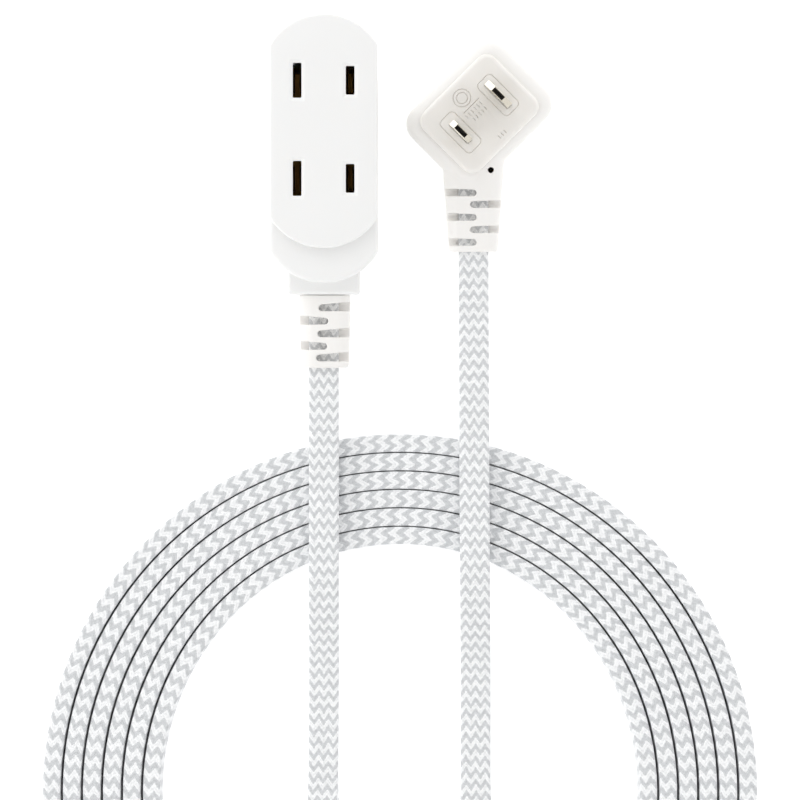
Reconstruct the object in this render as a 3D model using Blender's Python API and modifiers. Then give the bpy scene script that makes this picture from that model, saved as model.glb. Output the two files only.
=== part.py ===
"""Two-wire indoor extension cord: outlet head with a sliding safety cover, flat braided cord laid in
a six-turn coil, and a flat polarised plug.

The outlet head, the coil and the plug all lie on the plane z = 0. +Y is the head's long axis and
points away from its cord, and +Z is the way its outlets face.
"""
import math

import bmesh
import bpy
import numpy as np
from mathutils import Matrix, Vector

MM = 0.001
GAP = 0.3 * MM                      # left between pieces that touch

# Outlet head: one outline for the body and the cover, with a shallow arc at each end.
BODY_HALF_WIDTH = 13.1 * MM
BODY_TOP_Y = 34.2 * MM
BODY_BOTTOM_Y = -22.0 * MM
END_ARC_RADIUS = 15.1 * MM
ARC_CORNER_RADIUS = 1.5 * MM
DECK_Z = 22.0 * MM
DECK_THICKNESS = 2.0 * MM
FLOOR_THICKNESS = 2.0 * MM
WALL = 1.8 * MM
BODY_EDGE_RADIUS = 1.0 * MM
SEAM_Z = 11.0 * MM

COVER_HALF_WIDTH = 12.95 * MM
COVER_TOP_Y = 42.4 * MM
COVER_BOTTOM_Y = -13.7 * MM
COVER_THICKNESS = 3.0 * MM
COVER_EDGE_RADIUS = 0.6 * MM
COVER_TRAVEL = 8.3 * MM
LEG_YS = (24.5 * MM, -1.5 * MM)
LEG_WIDTH = 2.4 * MM
LEG_LENGTH = 2.5 * MM
HOOK_WIDTH = 5.6 * MM
HOOK_THICKNESS = 1.3 * MM

OUTLET_YS = (26.5 * MM, 3.0 * MM)
BLADE_SPACING = 12.7 * MM
SLOT_WIDTH = 2.1 * MM
NEUTRAL_SLOT_LENGTH = 8.4 * MM
LINE_SLOT_LENGTH = 6.9 * MM
SLOT_LEAD_IN = 0.5 * MM

# Neck of the head, and the flexible sleeve that the cord leaves through.
NECK_HALF_WIDTH = 8.7 * MM
NECK_END_Y = -25.04 * MM
NECK_ROOT_Y = -15.0 * MM
NECK_THICKNESS = 13.0 * MM
NECK_EDGE_RADIUS = 1.1 * MM
HEAD_CORD_Z = 11.0 * MM
SLEEVE_END_Y = -42.4 * MM
SLEEVE_WIDTH = 12.4 * MM
SLEEVE_THICKNESS = 10.0 * MM
SLEEVE_CORNER_RADIUS = 3.6 * MM
SLEEVE_END_SCALE = 0.94
SLEEVE_EDGE_RADIUS = 0.9 * MM
SLEEVE_WAIST = (10.0 * MM, 7.4 * MM)
SLEEVE_FLANGE = (12.6 * MM, 8.6 * MM)
SLEEVE_SLOT_YS = tuple(y * MM for y in (-28.2, -31.1, -34.2, -37.1, -40.0))
SLEEVE_SLOT_HEIGHT = 1.8 * MM
SLEEVE_SLOT_PAST_CENTRE = 1.3 * MM
SLOT_WEB_THICKNESS = 1.2 * MM

# Screws that hold the two shells together from behind.
SCREW_PLACES = {
    "shell_screw_top": (0.0, 29.8 * MM),
    "shell_screw_left": (-8.6 * MM, -11.5 * MM),
    "shell_screw_right": (8.6 * MM, -11.5 * MM),
}
SCREW_HEAD_RADIUS = 2.0 * MM
SCREW_HEAD_HEIGHT = 1.4 * MM
SCREW_SHAFT_RADIUS = 1.0 * MM
SCREW_SEAT_Z = 3.0 * MM
SCREW_TOP_Z = 17.0 * MM
BACK_BOSS_RADIUS = 3.3 * MM
FRONT_BOSS_RADIUS = 2.4 * MM

# Current-carrying parts of the head.
BUS_WIDTH = 5.0 * MM
BUS_Z = 4.8 * MM
BUS_THICKNESS = 0.8 * MM
BUS_ENDS_Y = (-7.0 * MM, 28.4 * MM)
FINGER_TOP_Z = 17.6 * MM
FINGER_THICKNESS = 0.5 * MM
FINGER_SPREAD = 1.7 * MM
FINGER_LENGTH = 6.0 * MM
CRIMP_X = 3.2 * MM
CRIMP_Z = 7.6 * MM
CRIMP_RADIUS = 1.6 * MM
CRIMP_ENDS_Y = (-12.4 * MM, -7.8 * MM)
LEAD_RADIUS = 1.2 * MM
CARRIER_HALF_WIDTH = 9.4 * MM
CARRIER_ENDS_Y = (-7.6 * MM, 26.0 * MM)
CARRIER_Z = (2.3 * MM, 4.5 * MM)
BARRIER_TOP_Z = 15.5 * MM

# Plug: a rounded block turned 45 degrees to its cord, lying on its back with its blades up.
PLUG_CENTRE = Vector((37.36 * MM, 18.7 * MM, 0.0))
PLUG_TURN = math.radians(45)
PLUG_SIZE = (31.1 * MM, 24.4 * MM)
PLUG_CORNER_RADIUS = 5.0 * MM
PLUG_THICKNESS = 10.6 * MM
PLUG_EDGE_RADIUS = 3.0 * MM
INSERT_SIZE = (24.5 * MM, 19.5 * MM)
INSERT_CORNER_RADIUS = 3.0 * MM
INSERT_Z = (7.0 * MM, 12.4 * MM)
INSERT_EDGE_RADIUS = 0.5 * MM
PLUG_CAVITY_FLOOR_Z = 2.5 * MM
BLADE_THICKNESS = 1.52 * MM
NEUTRAL_BLADE_WIDTH = 7.94 * MM
LINE_BLADE_WIDTH = 6.35 * MM
BLADE_ROOT_Z = 3.0 * MM
BLADE_LENGTH = 16.3 * MM
BLADE_TIP_WIDTH = 3.5 * MM          # left flat between its two sloping shoulders
BLADE_TIP_CHAMFER = 0.2 * MM
BLADE_HOLE_RADIUS = 1.98 * MM
BLADE_HOLE_HEIGHT = 11.7 * MM
PLUG_CORD_X = 35.95 * MM
PLUG_CORD_Z = 5.5 * MM
PLUG_NECK_ROOT_Y = 11.0 * MM
PLUG_NECK_END_Y = -14.5 * MM
PLUG_NECK_WIDTH = 15.4 * MM
PLUG_NECK_THICKNESS = 10.2 * MM
PLUG_NECK_END_SCALE = 0.76
PLUG_SLOT_YS = tuple(y * MM for y in (-0.3, -3.1, -6.2, -9.15, -12.2))
PLUG_SLOT_HEIGHT = 1.65 * MM
PLUG_SLOT_PAST_CENTRE = 0.8 * MM
PIN_HOLE = Vector((40.14 * MM, 5.2 * MM, 7.2 * MM))
PIN_HOLE_RADIUS = 0.75 * MM

# Cord: a flat two-core cord in a braided sleeve, wound on its edge.
CORD_WIDTH = 7.2 * MM
CORD_THICKNESS = 4.2 * MM
CORD_CLEARANCE = 0.3 * MM
TURNS = 6
COIL_CENTRE = Vector((18.3 * MM, -144.6 * MM, 0.0))
COIL_SIDE_INNER = 57.1 * MM
COIL_SIDE_PITCH = 4.82 * MM
COIL_TOP_INNER = 59.7 * MM
COIL_TOP_PITCH = 4.44 * MM
COIL_SEGMENTS = 96

TIE_ANGLE = math.radians(340)
TIE_WIDTH = 12.0 * MM
TIE_THICKNESS = 1.2 * MM
TIE_LIFT = 1.5 * MM                 # how far the tie under the coil raises it off the table
TIE_LIFT_FLAT = math.radians(8)
TIE_LIFT_REACH = math.radians(28)

# Routes of the two runs in mm: x, y, z and the cord's turn about its own line in degrees, where
# 0 lies flat and 90 stands on edge. Each starts inside its strain relief.
OUTLET_ROUTE = (
    (0.0, -20.3, 11.0, 0), (0.0, -32.0, 11.0, 0), (0.0, -42.4, 11.0, 0), (0.0, -52.0, 10.3, 0),
    (0.0, -61.0, 9.7, 0), (0.0, -74.0, 9.65, 0), (0.0, -87.0, 9.6, 0), (0.0, -95.0, 8.5, 0),
    (0.0, -103.0, 5.9, 0), (0.0, -111.0, 3.3, 0), (0.0, -119.0, 2.25, 0), (-0.1, -132.0, 2.25, 0),
    (-0.2, -146.0, 2.6, 8), (-0.2, -156.0, 3.75, 45), (0.4, -165.8, 3.8, 82),
    (3.8, -175.8, 3.7, 90), (10.2, -184.2, 3.65, 90), (18.8, -190.2, 3.65, 90),
    (28.8, -193.3, 3.65, 90), (39.3, -193.1, 3.65, 90), (48.2, -190.2, 3.65, 90),
)
PLUG_ROUTE = (
    (35.95, 3.2, 5.5, 0), (35.95, -7.0, 5.5, 0), (36.0, -17.0, 5.5, 0), (36.05, -30.0, 6.2, 0),
    (36.1, -44.0, 8.4, 0), (36.15, -58.0, 9.65, 0), (36.2, -72.0, 9.7, 0), (36.3, -87.0, 9.6, 0),
    (36.35, -95.0, 8.5, 0), (36.4, -103.0, 5.9, 0), (36.45, -111.0, 3.3, 0), (36.5, -119.0, 2.25, 0),
    (36.5, -132.0, 2.25, 0), (36.5, -146.0, 2.5, 5), (36.5, -156.0, 3.4, 28), (36.5, -166.0, 5.3, 55),
    (36.5, -176.0, 8.2, 78), (36.5, -185.5, 10.5, 88), (36.5, -194.6, 11.15, 90),
    (34.2, -206.0, 11.15, 90), (27.9, -215.8, 11.15, 90), (18.5, -222.8, 11.15, 90),
    (7.3, -225.9, 11.15, 90),
)
OUTLET_RUN_POINTS = 66
PLUG_RUN_POINTS = 76


def clear_scene():
    for obj in list(bpy.data.objects):
        bpy.data.objects.remove(obj, do_unlink=True)


def new_collection(name):
    collection = bpy.data.collections.new(name)
    bpy.context.scene.collection.children.link(collection)
    return collection


def material(name, colour, roughness, metallic=0.0):
    mat = bpy.data.materials.new(name)
    mat.use_nodes = True
    shader = mat.node_tree.nodes["Principled BSDF"]
    shader.inputs["Base Color"].default_value = (*colour, 1.0)
    shader.inputs["Roughness"].default_value = roughness
    shader.inputs["Metallic"].default_value = metallic
    return mat


# ---- outlines, all lists of (x, y) that run anticlockwise --------------------------------------

def arc(cx, cy, radius, start, end, steps):
    """Points of an arc in degrees, both ends included."""
    angles = [math.radians(start + (end - start) * i / steps) for i in range(steps + 1)]
    return [(cx + radius * math.cos(a), cy + radius * math.sin(a)) for a in angles]


def head_outline(half_width, bottom_y, top_y, end_radius=END_ARC_RADIUS, corner=ARC_CORNER_RADIUS):
    """Straight sides closed by two shallow arcs, with a small fillet where an arc meets a side."""
    fillet_x = half_width - corner
    fillet_y = math.sqrt((end_radius - corner) ** 2 - fillet_x ** 2)
    lean = math.degrees(math.atan2(fillet_y, fillet_x))
    top, bottom = top_y - end_radius, bottom_y + end_radius
    points = arc(fillet_x, top + fillet_y, corner, 0, lean, 2)
    points += arc(0, top, end_radius, lean, 180 - lean, 12)[1:-1]
    points += arc(-fillet_x, top + fillet_y, corner, 180 - lean, 180, 2)
    points += arc(-fillet_x, bottom - fillet_y, corner, 180, 180 + lean, 2)
    points += arc(0, bottom, end_radius, 180 + lean, 360 - lean, 12)[1:-1]
    points += arc(fillet_x, bottom - fillet_y, corner, 360 - lean, 360, 2)
    return points


def round_rectangle(width, height, radius, steps=4):
    x, y = width / 2 - radius, height / 2 - radius
    points = []
    for cx, cy, start in ((x, y, 0), (-x, y, 90), (-x, -y, 180), (x, -y, 270)):
        points += arc(cx, cy, radius, start, start + 90, steps)
    return points


def stadium(width, height, steps=5):
    reach = (width - height) / 2
    return arc(reach, 0, height / 2, -90, 90, steps) + arc(-reach, 0, height / 2, 90, 270, steps)


def finger_slot(tip_x, outer_x, centre_y, height):
    """A slot that is open at outer_x and has a round tip at tip_x."""
    radius = height / 2
    if outer_x > tip_x:
        points = arc(tip_x + radius, centre_y, radius, 90, 270, 4)
        return points + [(outer_x, centre_y - radius), (outer_x, centre_y + radius)]
    points = arc(tip_x - radius, centre_y, radius, -90, 90, 4)
    return points + [(outer_x, centre_y + radius), (outer_x, centre_y - radius)]


# ---- meshes --------------------------------------------------------------------------------------

def curve_to_bmesh(curve, matrix=Matrix()):
    """The evaluated surface of a curve, welded, as a bmesh; the curve itself is removed."""
    obj = bpy.data.objects.new("outline", curve)
    bpy.context.scene.collection.objects.link(obj)
    bpy.context.view_layer.update()
    evaluated = obj.evaluated_get(bpy.context.evaluated_depsgraph_get())
    mesh = bpy.data.meshes.new_from_object(evaluated)
    bm = bmesh.new()
    bm.from_mesh(mesh)
    bmesh.ops.remove_doubles(bm, verts=bm.verts, dist=0.002 * MM)
    bmesh.ops.dissolve_limit(bm, angle_limit=math.radians(0.5), verts=bm.verts, edges=bm.edges)
    bmesh.ops.recalc_face_normals(bm, faces=bm.faces)
    bm.transform(matrix)
    bpy.data.objects.remove(obj)
    bpy.data.curves.remove(curve)
    bpy.data.meshes.remove(mesh)
    return bm


def slab(outline, low, high, edge=0.0, edge_steps=2, matrix=Matrix()):
    """A flat outline given thickness from low to high, with its rims rounded by edge."""
    curve = bpy.data.curves.new("outline", "CURVE")
    curve.dimensions = "2D"
    curve.fill_mode = "BOTH"
    curve.extrude = (high - low) / 2 - edge
    curve.bevel_depth = edge
    curve.bevel_resolution = edge_steps - 1
    curve.offset = -edge
    spline = curve.splines.new("POLY")
    spline.points.add(len(outline) - 1)
    for point, (x, y) in zip(spline.points, outline):
        point.co = (x, y, 0.0, 1.0)
    spline.use_cyclic_u = True
    return curve_to_bmesh(curve, matrix @ Matrix.Translation((0, 0, (low + high) / 2)))


def box(low, high):
    """A box between two corners."""
    low, high = Vector(low), Vector(high)
    bm = bmesh.new()
    place = Matrix.Translation((low + high) / 2) @ Matrix.Diagonal((*(high - low), 1.0))
    bmesh.ops.create_cube(bm, size=1.0, matrix=place)
    return bm


def cylinder(centre, radius, low, high, segments=20, matrix=Matrix()):
    bm = bmesh.new()
    place = matrix @ Matrix.Translation((centre[0], centre[1], (low + high) / 2))
    bmesh.ops.create_cone(bm, cap_ends=True, segments=segments, radius1=radius, radius2=radius,
                          depth=high - low, matrix=place)
    return bm


def join(*shapes):
    """Several bmeshes as the islands of one."""
    whole = shapes[0]
    for shape in shapes[1:]:
        mesh = bpy.data.meshes.new("island")
        shape.to_mesh(mesh)
        whole.from_mesh(mesh)
        shape.free()
        bpy.data.meshes.remove(mesh)
    return whole


def to_object(name, bm, mat=None):
    mesh = bpy.data.meshes.new(name)
    bm.to_mesh(mesh)
    bm.free()
    mesh.shade_smooth()
    mesh.set_sharp_from_angle(angle=math.radians(35))
    obj = bpy.data.objects.new(name, mesh)
    if mat:
        mesh.materials.append(mat)
        PARTS.objects.link(obj)
    else:
        CUTTERS.objects.link(obj)
        obj.hide_render = True
        obj.display_type = "WIRE"
    return obj


def boolean(obj, operation, *shapes):
    """Cuts shapes from obj, or joins them to it, in the order given."""
    for shape in shapes:
        tool = to_object(f"{obj.name}_tool_{len(obj.modifiers)}", shape)
        modifier = obj.modifiers.new(tool.name, "BOOLEAN")
        modifier.operation = operation
        modifier.object = tool
    return obj


def smooth_line(route, count):
    """count evenly spaced points (x, y, z, turn) on a natural cubic spline through the route."""
    knots = np.array(route, dtype=float)
    steps = np.linalg.norm(np.diff(knots[:, :3], axis=0), axis=1)
    along = np.concatenate(([0.0], np.cumsum(steps)))
    size = len(knots)
    system = np.eye(size)
    slopes = np.zeros_like(knots)
    for i in range(1, size - 1):
        system[i, i - 1:i + 2] = steps[i - 1], 2 * (steps[i - 1] + steps[i]), steps[i]
        after = (knots[i + 1] - knots[i]) / steps[i]
        before = (knots[i] - knots[i - 1]) / steps[i - 1]
        slopes[i] = 6 * (after - before)
    bend = np.linalg.solve(system, slopes)
    points = []
    for s in np.linspace(0.0, along[-1], count):
        i = min(int(np.searchsorted(along, s, side="right")) - 1, size - 2)
        left, right, h = s - along[i], along[i + 1] - s, steps[i]
        points.append(bend[i] * right ** 3 / (6 * h) + bend[i + 1] * left ** 3 / (6 * h)
                      + (knots[i] / h - bend[i] * h / 6) * right
                      + (knots[i + 1] / h - bend[i + 1] * h / 6) * left)
    return points


# ---- outlet head -----------------------------------------------------------------------------------

def blade_slots(low, high, spread=0.0):
    """The four blade openings from low to high; spread widens them all round at the top."""
    shapes = []
    for y in OUTLET_YS:
        for side, length in ((-1, NEUTRAL_SLOT_LENGTH), (1, LINE_SLOT_LENGTH)):
            x = side * BLADE_SPACING / 2
            half_width, half_length = SLOT_WIDTH / 2, length / 2
            shape = box((x - half_width, y - half_length, low), (x + half_width, y + half_length, high))
            for vert in shape.verts:
                if vert.co.z > (low + high) / 2:
                    vert.co.x += math.copysign(spread, vert.co.x - x)
                    vert.co.y += math.copysign(spread, vert.co.y - y)
            shapes.append(shape)
    return join(*shapes)


def safety_cover(mat):
    low, high = DECK_Z + GAP, DECK_Z + GAP + COVER_THICKNESS
    outline = head_outline(COVER_HALF_WIDTH, COVER_BOTTOM_Y, COVER_TOP_Y)
    cover = to_object("safety_cover", slab(outline, low, high, COVER_EDGE_RADIUS), mat)
    hook_top = DECK_Z - DECK_THICKNESS - GAP
    legs, hooks = [], []
    for y in LEG_YS:
        front, back = y - LEG_LENGTH / 2, y + LEG_LENGTH / 2
        legs.append(box((-LEG_WIDTH / 2, front, hook_top - 0.5 * HOOK_THICKNESS),
                        (LEG_WIDTH / 2, back, low + 0.5 * COVER_THICKNESS)))
        hooks.append(box((-HOOK_WIDTH / 2, front, hook_top - HOOK_THICKNESS),
                         (HOOK_WIDTH / 2, back, hook_top)))
    boolean(cover, "UNION", join(*legs), join(*hooks))
    boolean(cover, "DIFFERENCE", blade_slots(low - MM, high + MM),
            blade_slots(high - SLOT_LEAD_IN, high + SLOT_LEAD_IN, 2 * SLOT_LEAD_IN))
    return cover


def head_cavity():
    """The space inside both shells: the body's, the neck's and the mouth the sleeve sits in."""
    inner = head_outline(BODY_HALF_WIDTH - WALL, BODY_BOTTOM_Y + WALL, BODY_TOP_Y - WALL,
                         END_ARC_RADIUS - WALL, 1.0 * MM)
    body = slab(inner, FLOOR_THICKNESS, DECK_Z - DECK_THICKNESS)
    neck = box((-NECK_HALF_WIDTH + WALL, NECK_END_Y + 2.14 * MM, HEAD_CORD_Z - 4.7 * MM),
               (NECK_HALF_WIDTH - WALL, NECK_ROOT_Y, HEAD_CORD_Z + 4.7 * MM))
    half_width, half_height = SLEEVE_WAIST[0] / 2 + GAP, SLEEVE_WAIST[1] / 2 + GAP
    mouth = box((-half_width, NECK_END_Y - MM, HEAD_CORD_Z - half_height),
                (half_width, NECK_ROOT_Y - MM, HEAD_CORD_Z + half_height))
    return body, neck, mouth


def head_shell(name, mat, keep_front):
    """One half of the head's casing, split from the other along the seam."""
    outline = head_outline(BODY_HALF_WIDTH, BODY_BOTTOM_Y, BODY_TOP_Y)
    shell = to_object(name, slab(outline, 0.0, DECK_Z, BODY_EDGE_RADIUS), mat)
    centre_y = (NECK_END_Y + NECK_ROOT_Y) / 2
    neck = slab(round_rectangle(2 * NECK_HALF_WIDTH, NECK_ROOT_Y - NECK_END_Y, 1.4 * MM, 2),
                -NECK_THICKNESS / 2, NECK_THICKNESS / 2, NECK_EDGE_RADIUS,
                matrix=Matrix.Translation((0, centre_y, HEAD_CORD_Z)))
    boolean(shell, "UNION", neck)
    boolean(shell, "DIFFERENCE", *head_cavity())
    reach = 60 * MM
    if keep_front:
        half = box((-reach, -reach, -MM), (reach, reach, SEAM_Z + GAP / 2))
    else:
        half = box((-reach, -reach, SEAM_Z - GAP / 2), (reach, reach, DECK_Z + MM))
    return shell, half


def bosses(radius, low, high):
    return join(*[cylinder(place, radius, low, high) for place in SCREW_PLACES.values()])


def front_shell(mat):
    shell, half = head_shell("front_shell", mat, keep_front=True)
    under_deck = DECK_Z - DECK_THICKNESS
    boolean(shell, "UNION", bosses(FRONT_BOSS_RADIUS, SEAM_Z, under_deck + 0.5 * MM))
    hole_radius = SCREW_SHAFT_RADIUS + GAP
    guides = []
    for y in LEG_YS:
        half_width = LEG_WIDTH / 2 + GAP
        guides.append(box((-half_width, y - LEG_LENGTH / 2 - COVER_TRAVEL - GAP, under_deck - MM),
                          (half_width, y + LEG_LENGTH / 2 + GAP, DECK_Z + MM)))
    boolean(shell, "DIFFERENCE", bosses(hole_radius, SEAM_Z - MM, SCREW_TOP_Z + GAP), join(*guides),
            blade_slots(under_deck - MM, DECK_Z + MM), half)
    return shell


def back_shell(mat):
    shell, half = head_shell("back_shell", mat, keep_front=False)
    boolean(shell, "UNION", bosses(BACK_BOSS_RADIUS, 0.5 * FLOOR_THICKNESS, SEAM_Z))
    boolean(shell, "DIFFERENCE", bosses(SCREW_SHAFT_RADIUS + GAP, FLOOR_THICKNESS, SEAM_Z + MM),
            bosses(SCREW_HEAD_RADIUS + GAP, -MM, SCREW_SEAT_Z), half)
    return shell


def shell_screw(name, place, mat):
    """A pan-head screw turned about its own axis, head down."""
    head_top = SCREW_SEAT_Z - GAP
    head_bottom = head_top - SCREW_HEAD_HEIGHT
    profile = ((0.0, SCREW_TOP_Z), (SCREW_SHAFT_RADIUS * 0.5, SCREW_TOP_Z),
               (SCREW_SHAFT_RADIUS, SCREW_TOP_Z - MM), (SCREW_SHAFT_RADIUS, head_top),
               (SCREW_HEAD_RADIUS, head_top), (SCREW_HEAD_RADIUS, head_bottom + 0.4 * MM),
               (SCREW_HEAD_RADIUS - 0.4 * MM, head_bottom), (0.0, head_bottom))
    mesh = bpy.data.meshes.new(name)
    mesh.from_pydata([(x, 0.0, z) for x, z in profile], [(i, i + 1) for i in range(len(profile) - 1)], [])
    mesh.materials.append(mat)
    screw = bpy.data.objects.new(name, mesh)
    screw.location = (*place, 0.0)
    PARTS.objects.link(screw)
    turn = screw.modifiers.new("turned", "SCREW")
    turn.steps = turn.render_steps = 16
    turn.use_merge_vertices = True
    turn.merge_threshold = 0.00001
    return screw


def contact_bus(name, side, mat):
    """A stamped strip with two pairs of wiping fingers and a tail under its crimp."""
    x = side * BLADE_SPACING / 2
    low, high = BUS_Z, BUS_Z + BUS_THICKNESS
    strip = box((x - BUS_WIDTH / 2, BUS_ENDS_Y[0], low), (x + BUS_WIDTH / 2, BUS_ENDS_Y[1], high))
    bus = to_object(name, strip, mat)
    tail_x = side * CRIMP_X
    tail = box((tail_x - 1.2 * MM, CRIMP_ENDS_Y[0], low), (tail_x + 1.2 * MM, BUS_ENDS_Y[0] + MM, high))
    fingers = []
    for y in OUTLET_YS:
        for offset in (-1, 1):
            inner = x + offset * FINGER_SPREAD / 2
            outer = inner + offset * FINGER_THICKNESS
            fingers.append(box((min(inner, outer), y - FINGER_LENGTH / 2, low + 0.2 * MM),
                               (max(inner, outer), y + FINGER_LENGTH / 2, FINGER_TOP_Z)))
    boolean(bus, "UNION", tail, join(*fingers))
    return bus


def crimp(name, side, mat):
    """The barrel that squeezes a lead's bared end onto its bus."""
    length = CRIMP_ENDS_Y[1] - CRIMP_ENDS_Y[0]
    lay = Matrix.Translation((side * CRIMP_X, sum(CRIMP_ENDS_Y) / 2, CRIMP_Z)) @ Matrix.Rotation(
        math.radians(90), 4, "X")
    return to_object(name, cylinder((0, 0), CRIMP_RADIUS, -length / 2, length / 2, 12, lay), mat)


def contact_carrier(mat):
    """The moulded tray that the two strips lie on, with the barrier that keeps them apart."""
    low, high = CARRIER_Z
    tray = box((-CARRIER_HALF_WIDTH, CARRIER_ENDS_Y[0], low), (CARRIER_HALF_WIDTH, CARRIER_ENDS_Y[1], high))
    carrier = to_object("contact_carrier", tray, mat)
    barrier = box((-MM, CARRIER_ENDS_Y[0] + MM, low + 0.5 * MM), (MM, CARRIER_ENDS_Y[1] - MM, BARRIER_TOP_Z))
    boolean(carrier, "UNION", barrier)
    return carrier


def relief_pockets(centre_x, axis_z, slot_ys, height, past_centre, first_side):
    """Finger slots from above and below that leave a thin web level with the cord."""
    outlines = []
    for i, y in enumerate(slot_ys):
        side = first_side if i % 2 == 0 else -first_side
        outlines.append(finger_slot(centre_x - side * past_centre, centre_x + side * 12 * MM, y, height))
    web = SLOT_WEB_THICKNESS / 2
    above = join(*[slab(outline, axis_z + web, axis_z + 12 * MM) for outline in outlines])
    below = join(*[slab(outline, axis_z - 12 * MM, axis_z - web) for outline in outlines])
    return above, below


def tapered_sleeve(width, thickness, corner, edge, root_y, end_y, end_scale):
    """A round-cornered bar along -Y from root_y to end_y, drawn in to end_scale at its end."""
    length = root_y - end_y
    bar = slab(round_rectangle(width, thickness, corner, 3), 0.0, length, edge)
    for vert in bar.verts:
        scale = 1.0 + (end_scale - 1.0) * vert.co.z / length
        vert.co.x *= scale
        vert.co.y *= scale
    bar.transform(Matrix.Translation((0, root_y, 0)) @ Matrix.Rotation(math.radians(90), 4, "X"))
    return bar


def cord_bore(root_y, end_y):
    """The cord's own shape with clearance, along Y."""
    outline = stadium(CORD_WIDTH + 2 * CORD_CLEARANCE, CORD_THICKNESS + 2 * CORD_CLEARANCE)
    turn = Matrix.Translation((0, root_y, 0)) @ Matrix.Rotation(math.radians(90), 4, "X")
    return slab(outline, 0.0, root_y - end_y, matrix=turn)


def moved(bm, place):
    bm.transform(Matrix.Translation(place))
    return bm


def strain_relief(mat):
    axis = Vector((0, 0, HEAD_CORD_Z))
    bar = tapered_sleeve(SLEEVE_WIDTH, SLEEVE_THICKNESS, SLEEVE_CORNER_RADIUS, SLEEVE_EDGE_RADIUS,
                         NECK_END_Y - GAP, SLEEVE_END_Y, SLEEVE_END_SCALE)
    sleeve = to_object("strain_relief", moved(bar, axis), mat)
    half_width, half_height = SLEEVE_WAIST[0] / 2, SLEEVE_WAIST[1] / 2
    waist = box((-half_width, NECK_END_Y - 2 * MM, -half_height), (half_width, NECK_END_Y + 3 * MM, half_height))
    half_width, half_height = SLEEVE_FLANGE[0] / 2, SLEEVE_FLANGE[1] / 2
    flange = box((-half_width, NECK_END_Y + 2.44 * MM, -half_height),
                 (half_width, NECK_END_Y + 4.0 * MM, half_height))
    boolean(sleeve, "UNION", moved(waist, axis), moved(flange, axis))
    boolean(sleeve, "DIFFERENCE", moved(cord_bore(NECK_ROOT_Y, SLEEVE_END_Y - MM), axis),
            *relief_pockets(0.0, HEAD_CORD_Z, SLEEVE_SLOT_YS, SLEEVE_SLOT_HEIGHT,
                            SLEEVE_SLOT_PAST_CENTRE, 1))
    return sleeve


# ---- plug --------------------------------------------------------------------------------------------

PLUG_PLACE = Matrix.Translation(PLUG_CENTRE) @ Matrix.Rotation(PLUG_TURN, 4, "Z")


def plug_body(mat):
    """The soft moulding: a rounded block, and a slotted neck that grips the cord."""
    outline = round_rectangle(*PLUG_SIZE, PLUG_CORNER_RADIUS)
    body = to_object("plug_body", slab(outline, 0.0, PLUG_THICKNESS, PLUG_EDGE_RADIUS, 3, PLUG_PLACE), mat)
    axis = Vector((PLUG_CORD_X, 0, PLUG_CORD_Z))
    neck = tapered_sleeve(PLUG_NECK_WIDTH, PLUG_NECK_THICKNESS, SLEEVE_CORNER_RADIUS, SLEEVE_EDGE_RADIUS,
                          PLUG_NECK_ROOT_Y, PLUG_NECK_END_Y, PLUG_NECK_END_SCALE)
    boolean(body, "UNION", moved(neck, axis))
    width, height = INSERT_SIZE
    pocket = slab(round_rectangle(width + 2 * GAP, height + 2 * GAP, INSERT_CORNER_RADIUS + GAP),
                  PLUG_CAVITY_FLOOR_Z, PLUG_THICKNESS + 3 * MM, matrix=PLUG_PLACE)
    bore = moved(cord_bore(8 * MM, PLUG_NECK_END_Y - MM), axis)
    pin_hole = cylinder(PIN_HOLE, PIN_HOLE_RADIUS, PIN_HOLE.z, PLUG_THICKNESS + MM, 12)
    boolean(body, "DIFFERENCE", pocket, bore, pin_hole,
            *relief_pockets(PLUG_CORD_X, PLUG_CORD_Z, PLUG_SLOT_YS, PLUG_SLOT_HEIGHT,
                            PLUG_SLOT_PAST_CENTRE, -1))
    return body


def blade_box(side, width, extra, low, high):
    """A box round one blade, extra wider on every side, in the plug's turned axes."""
    x = side * BLADE_SPACING / 2
    shape = box((x - BLADE_THICKNESS / 2 - extra, -width / 2 - extra, low),
                (x + BLADE_THICKNESS / 2 + extra, width / 2 + extra, high))
    shape.transform(PLUG_PLACE)
    return shape


def plug_insert(mat):
    """The stiff face that holds the blades at their spacing."""
    low, high = INSERT_Z
    outline = round_rectangle(*INSERT_SIZE, INSERT_CORNER_RADIUS)
    insert = to_object("plug_insert", slab(outline, low, high, INSERT_EDGE_RADIUS, 2, PLUG_PLACE), mat)
    slots = join(blade_box(-1, LINE_BLADE_WIDTH, GAP, low - MM, high + MM),
                 blade_box(1, NEUTRAL_BLADE_WIDTH, GAP, low - MM, high + MM))
    boolean(insert, "DIFFERENCE", slots)
    return insert


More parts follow.
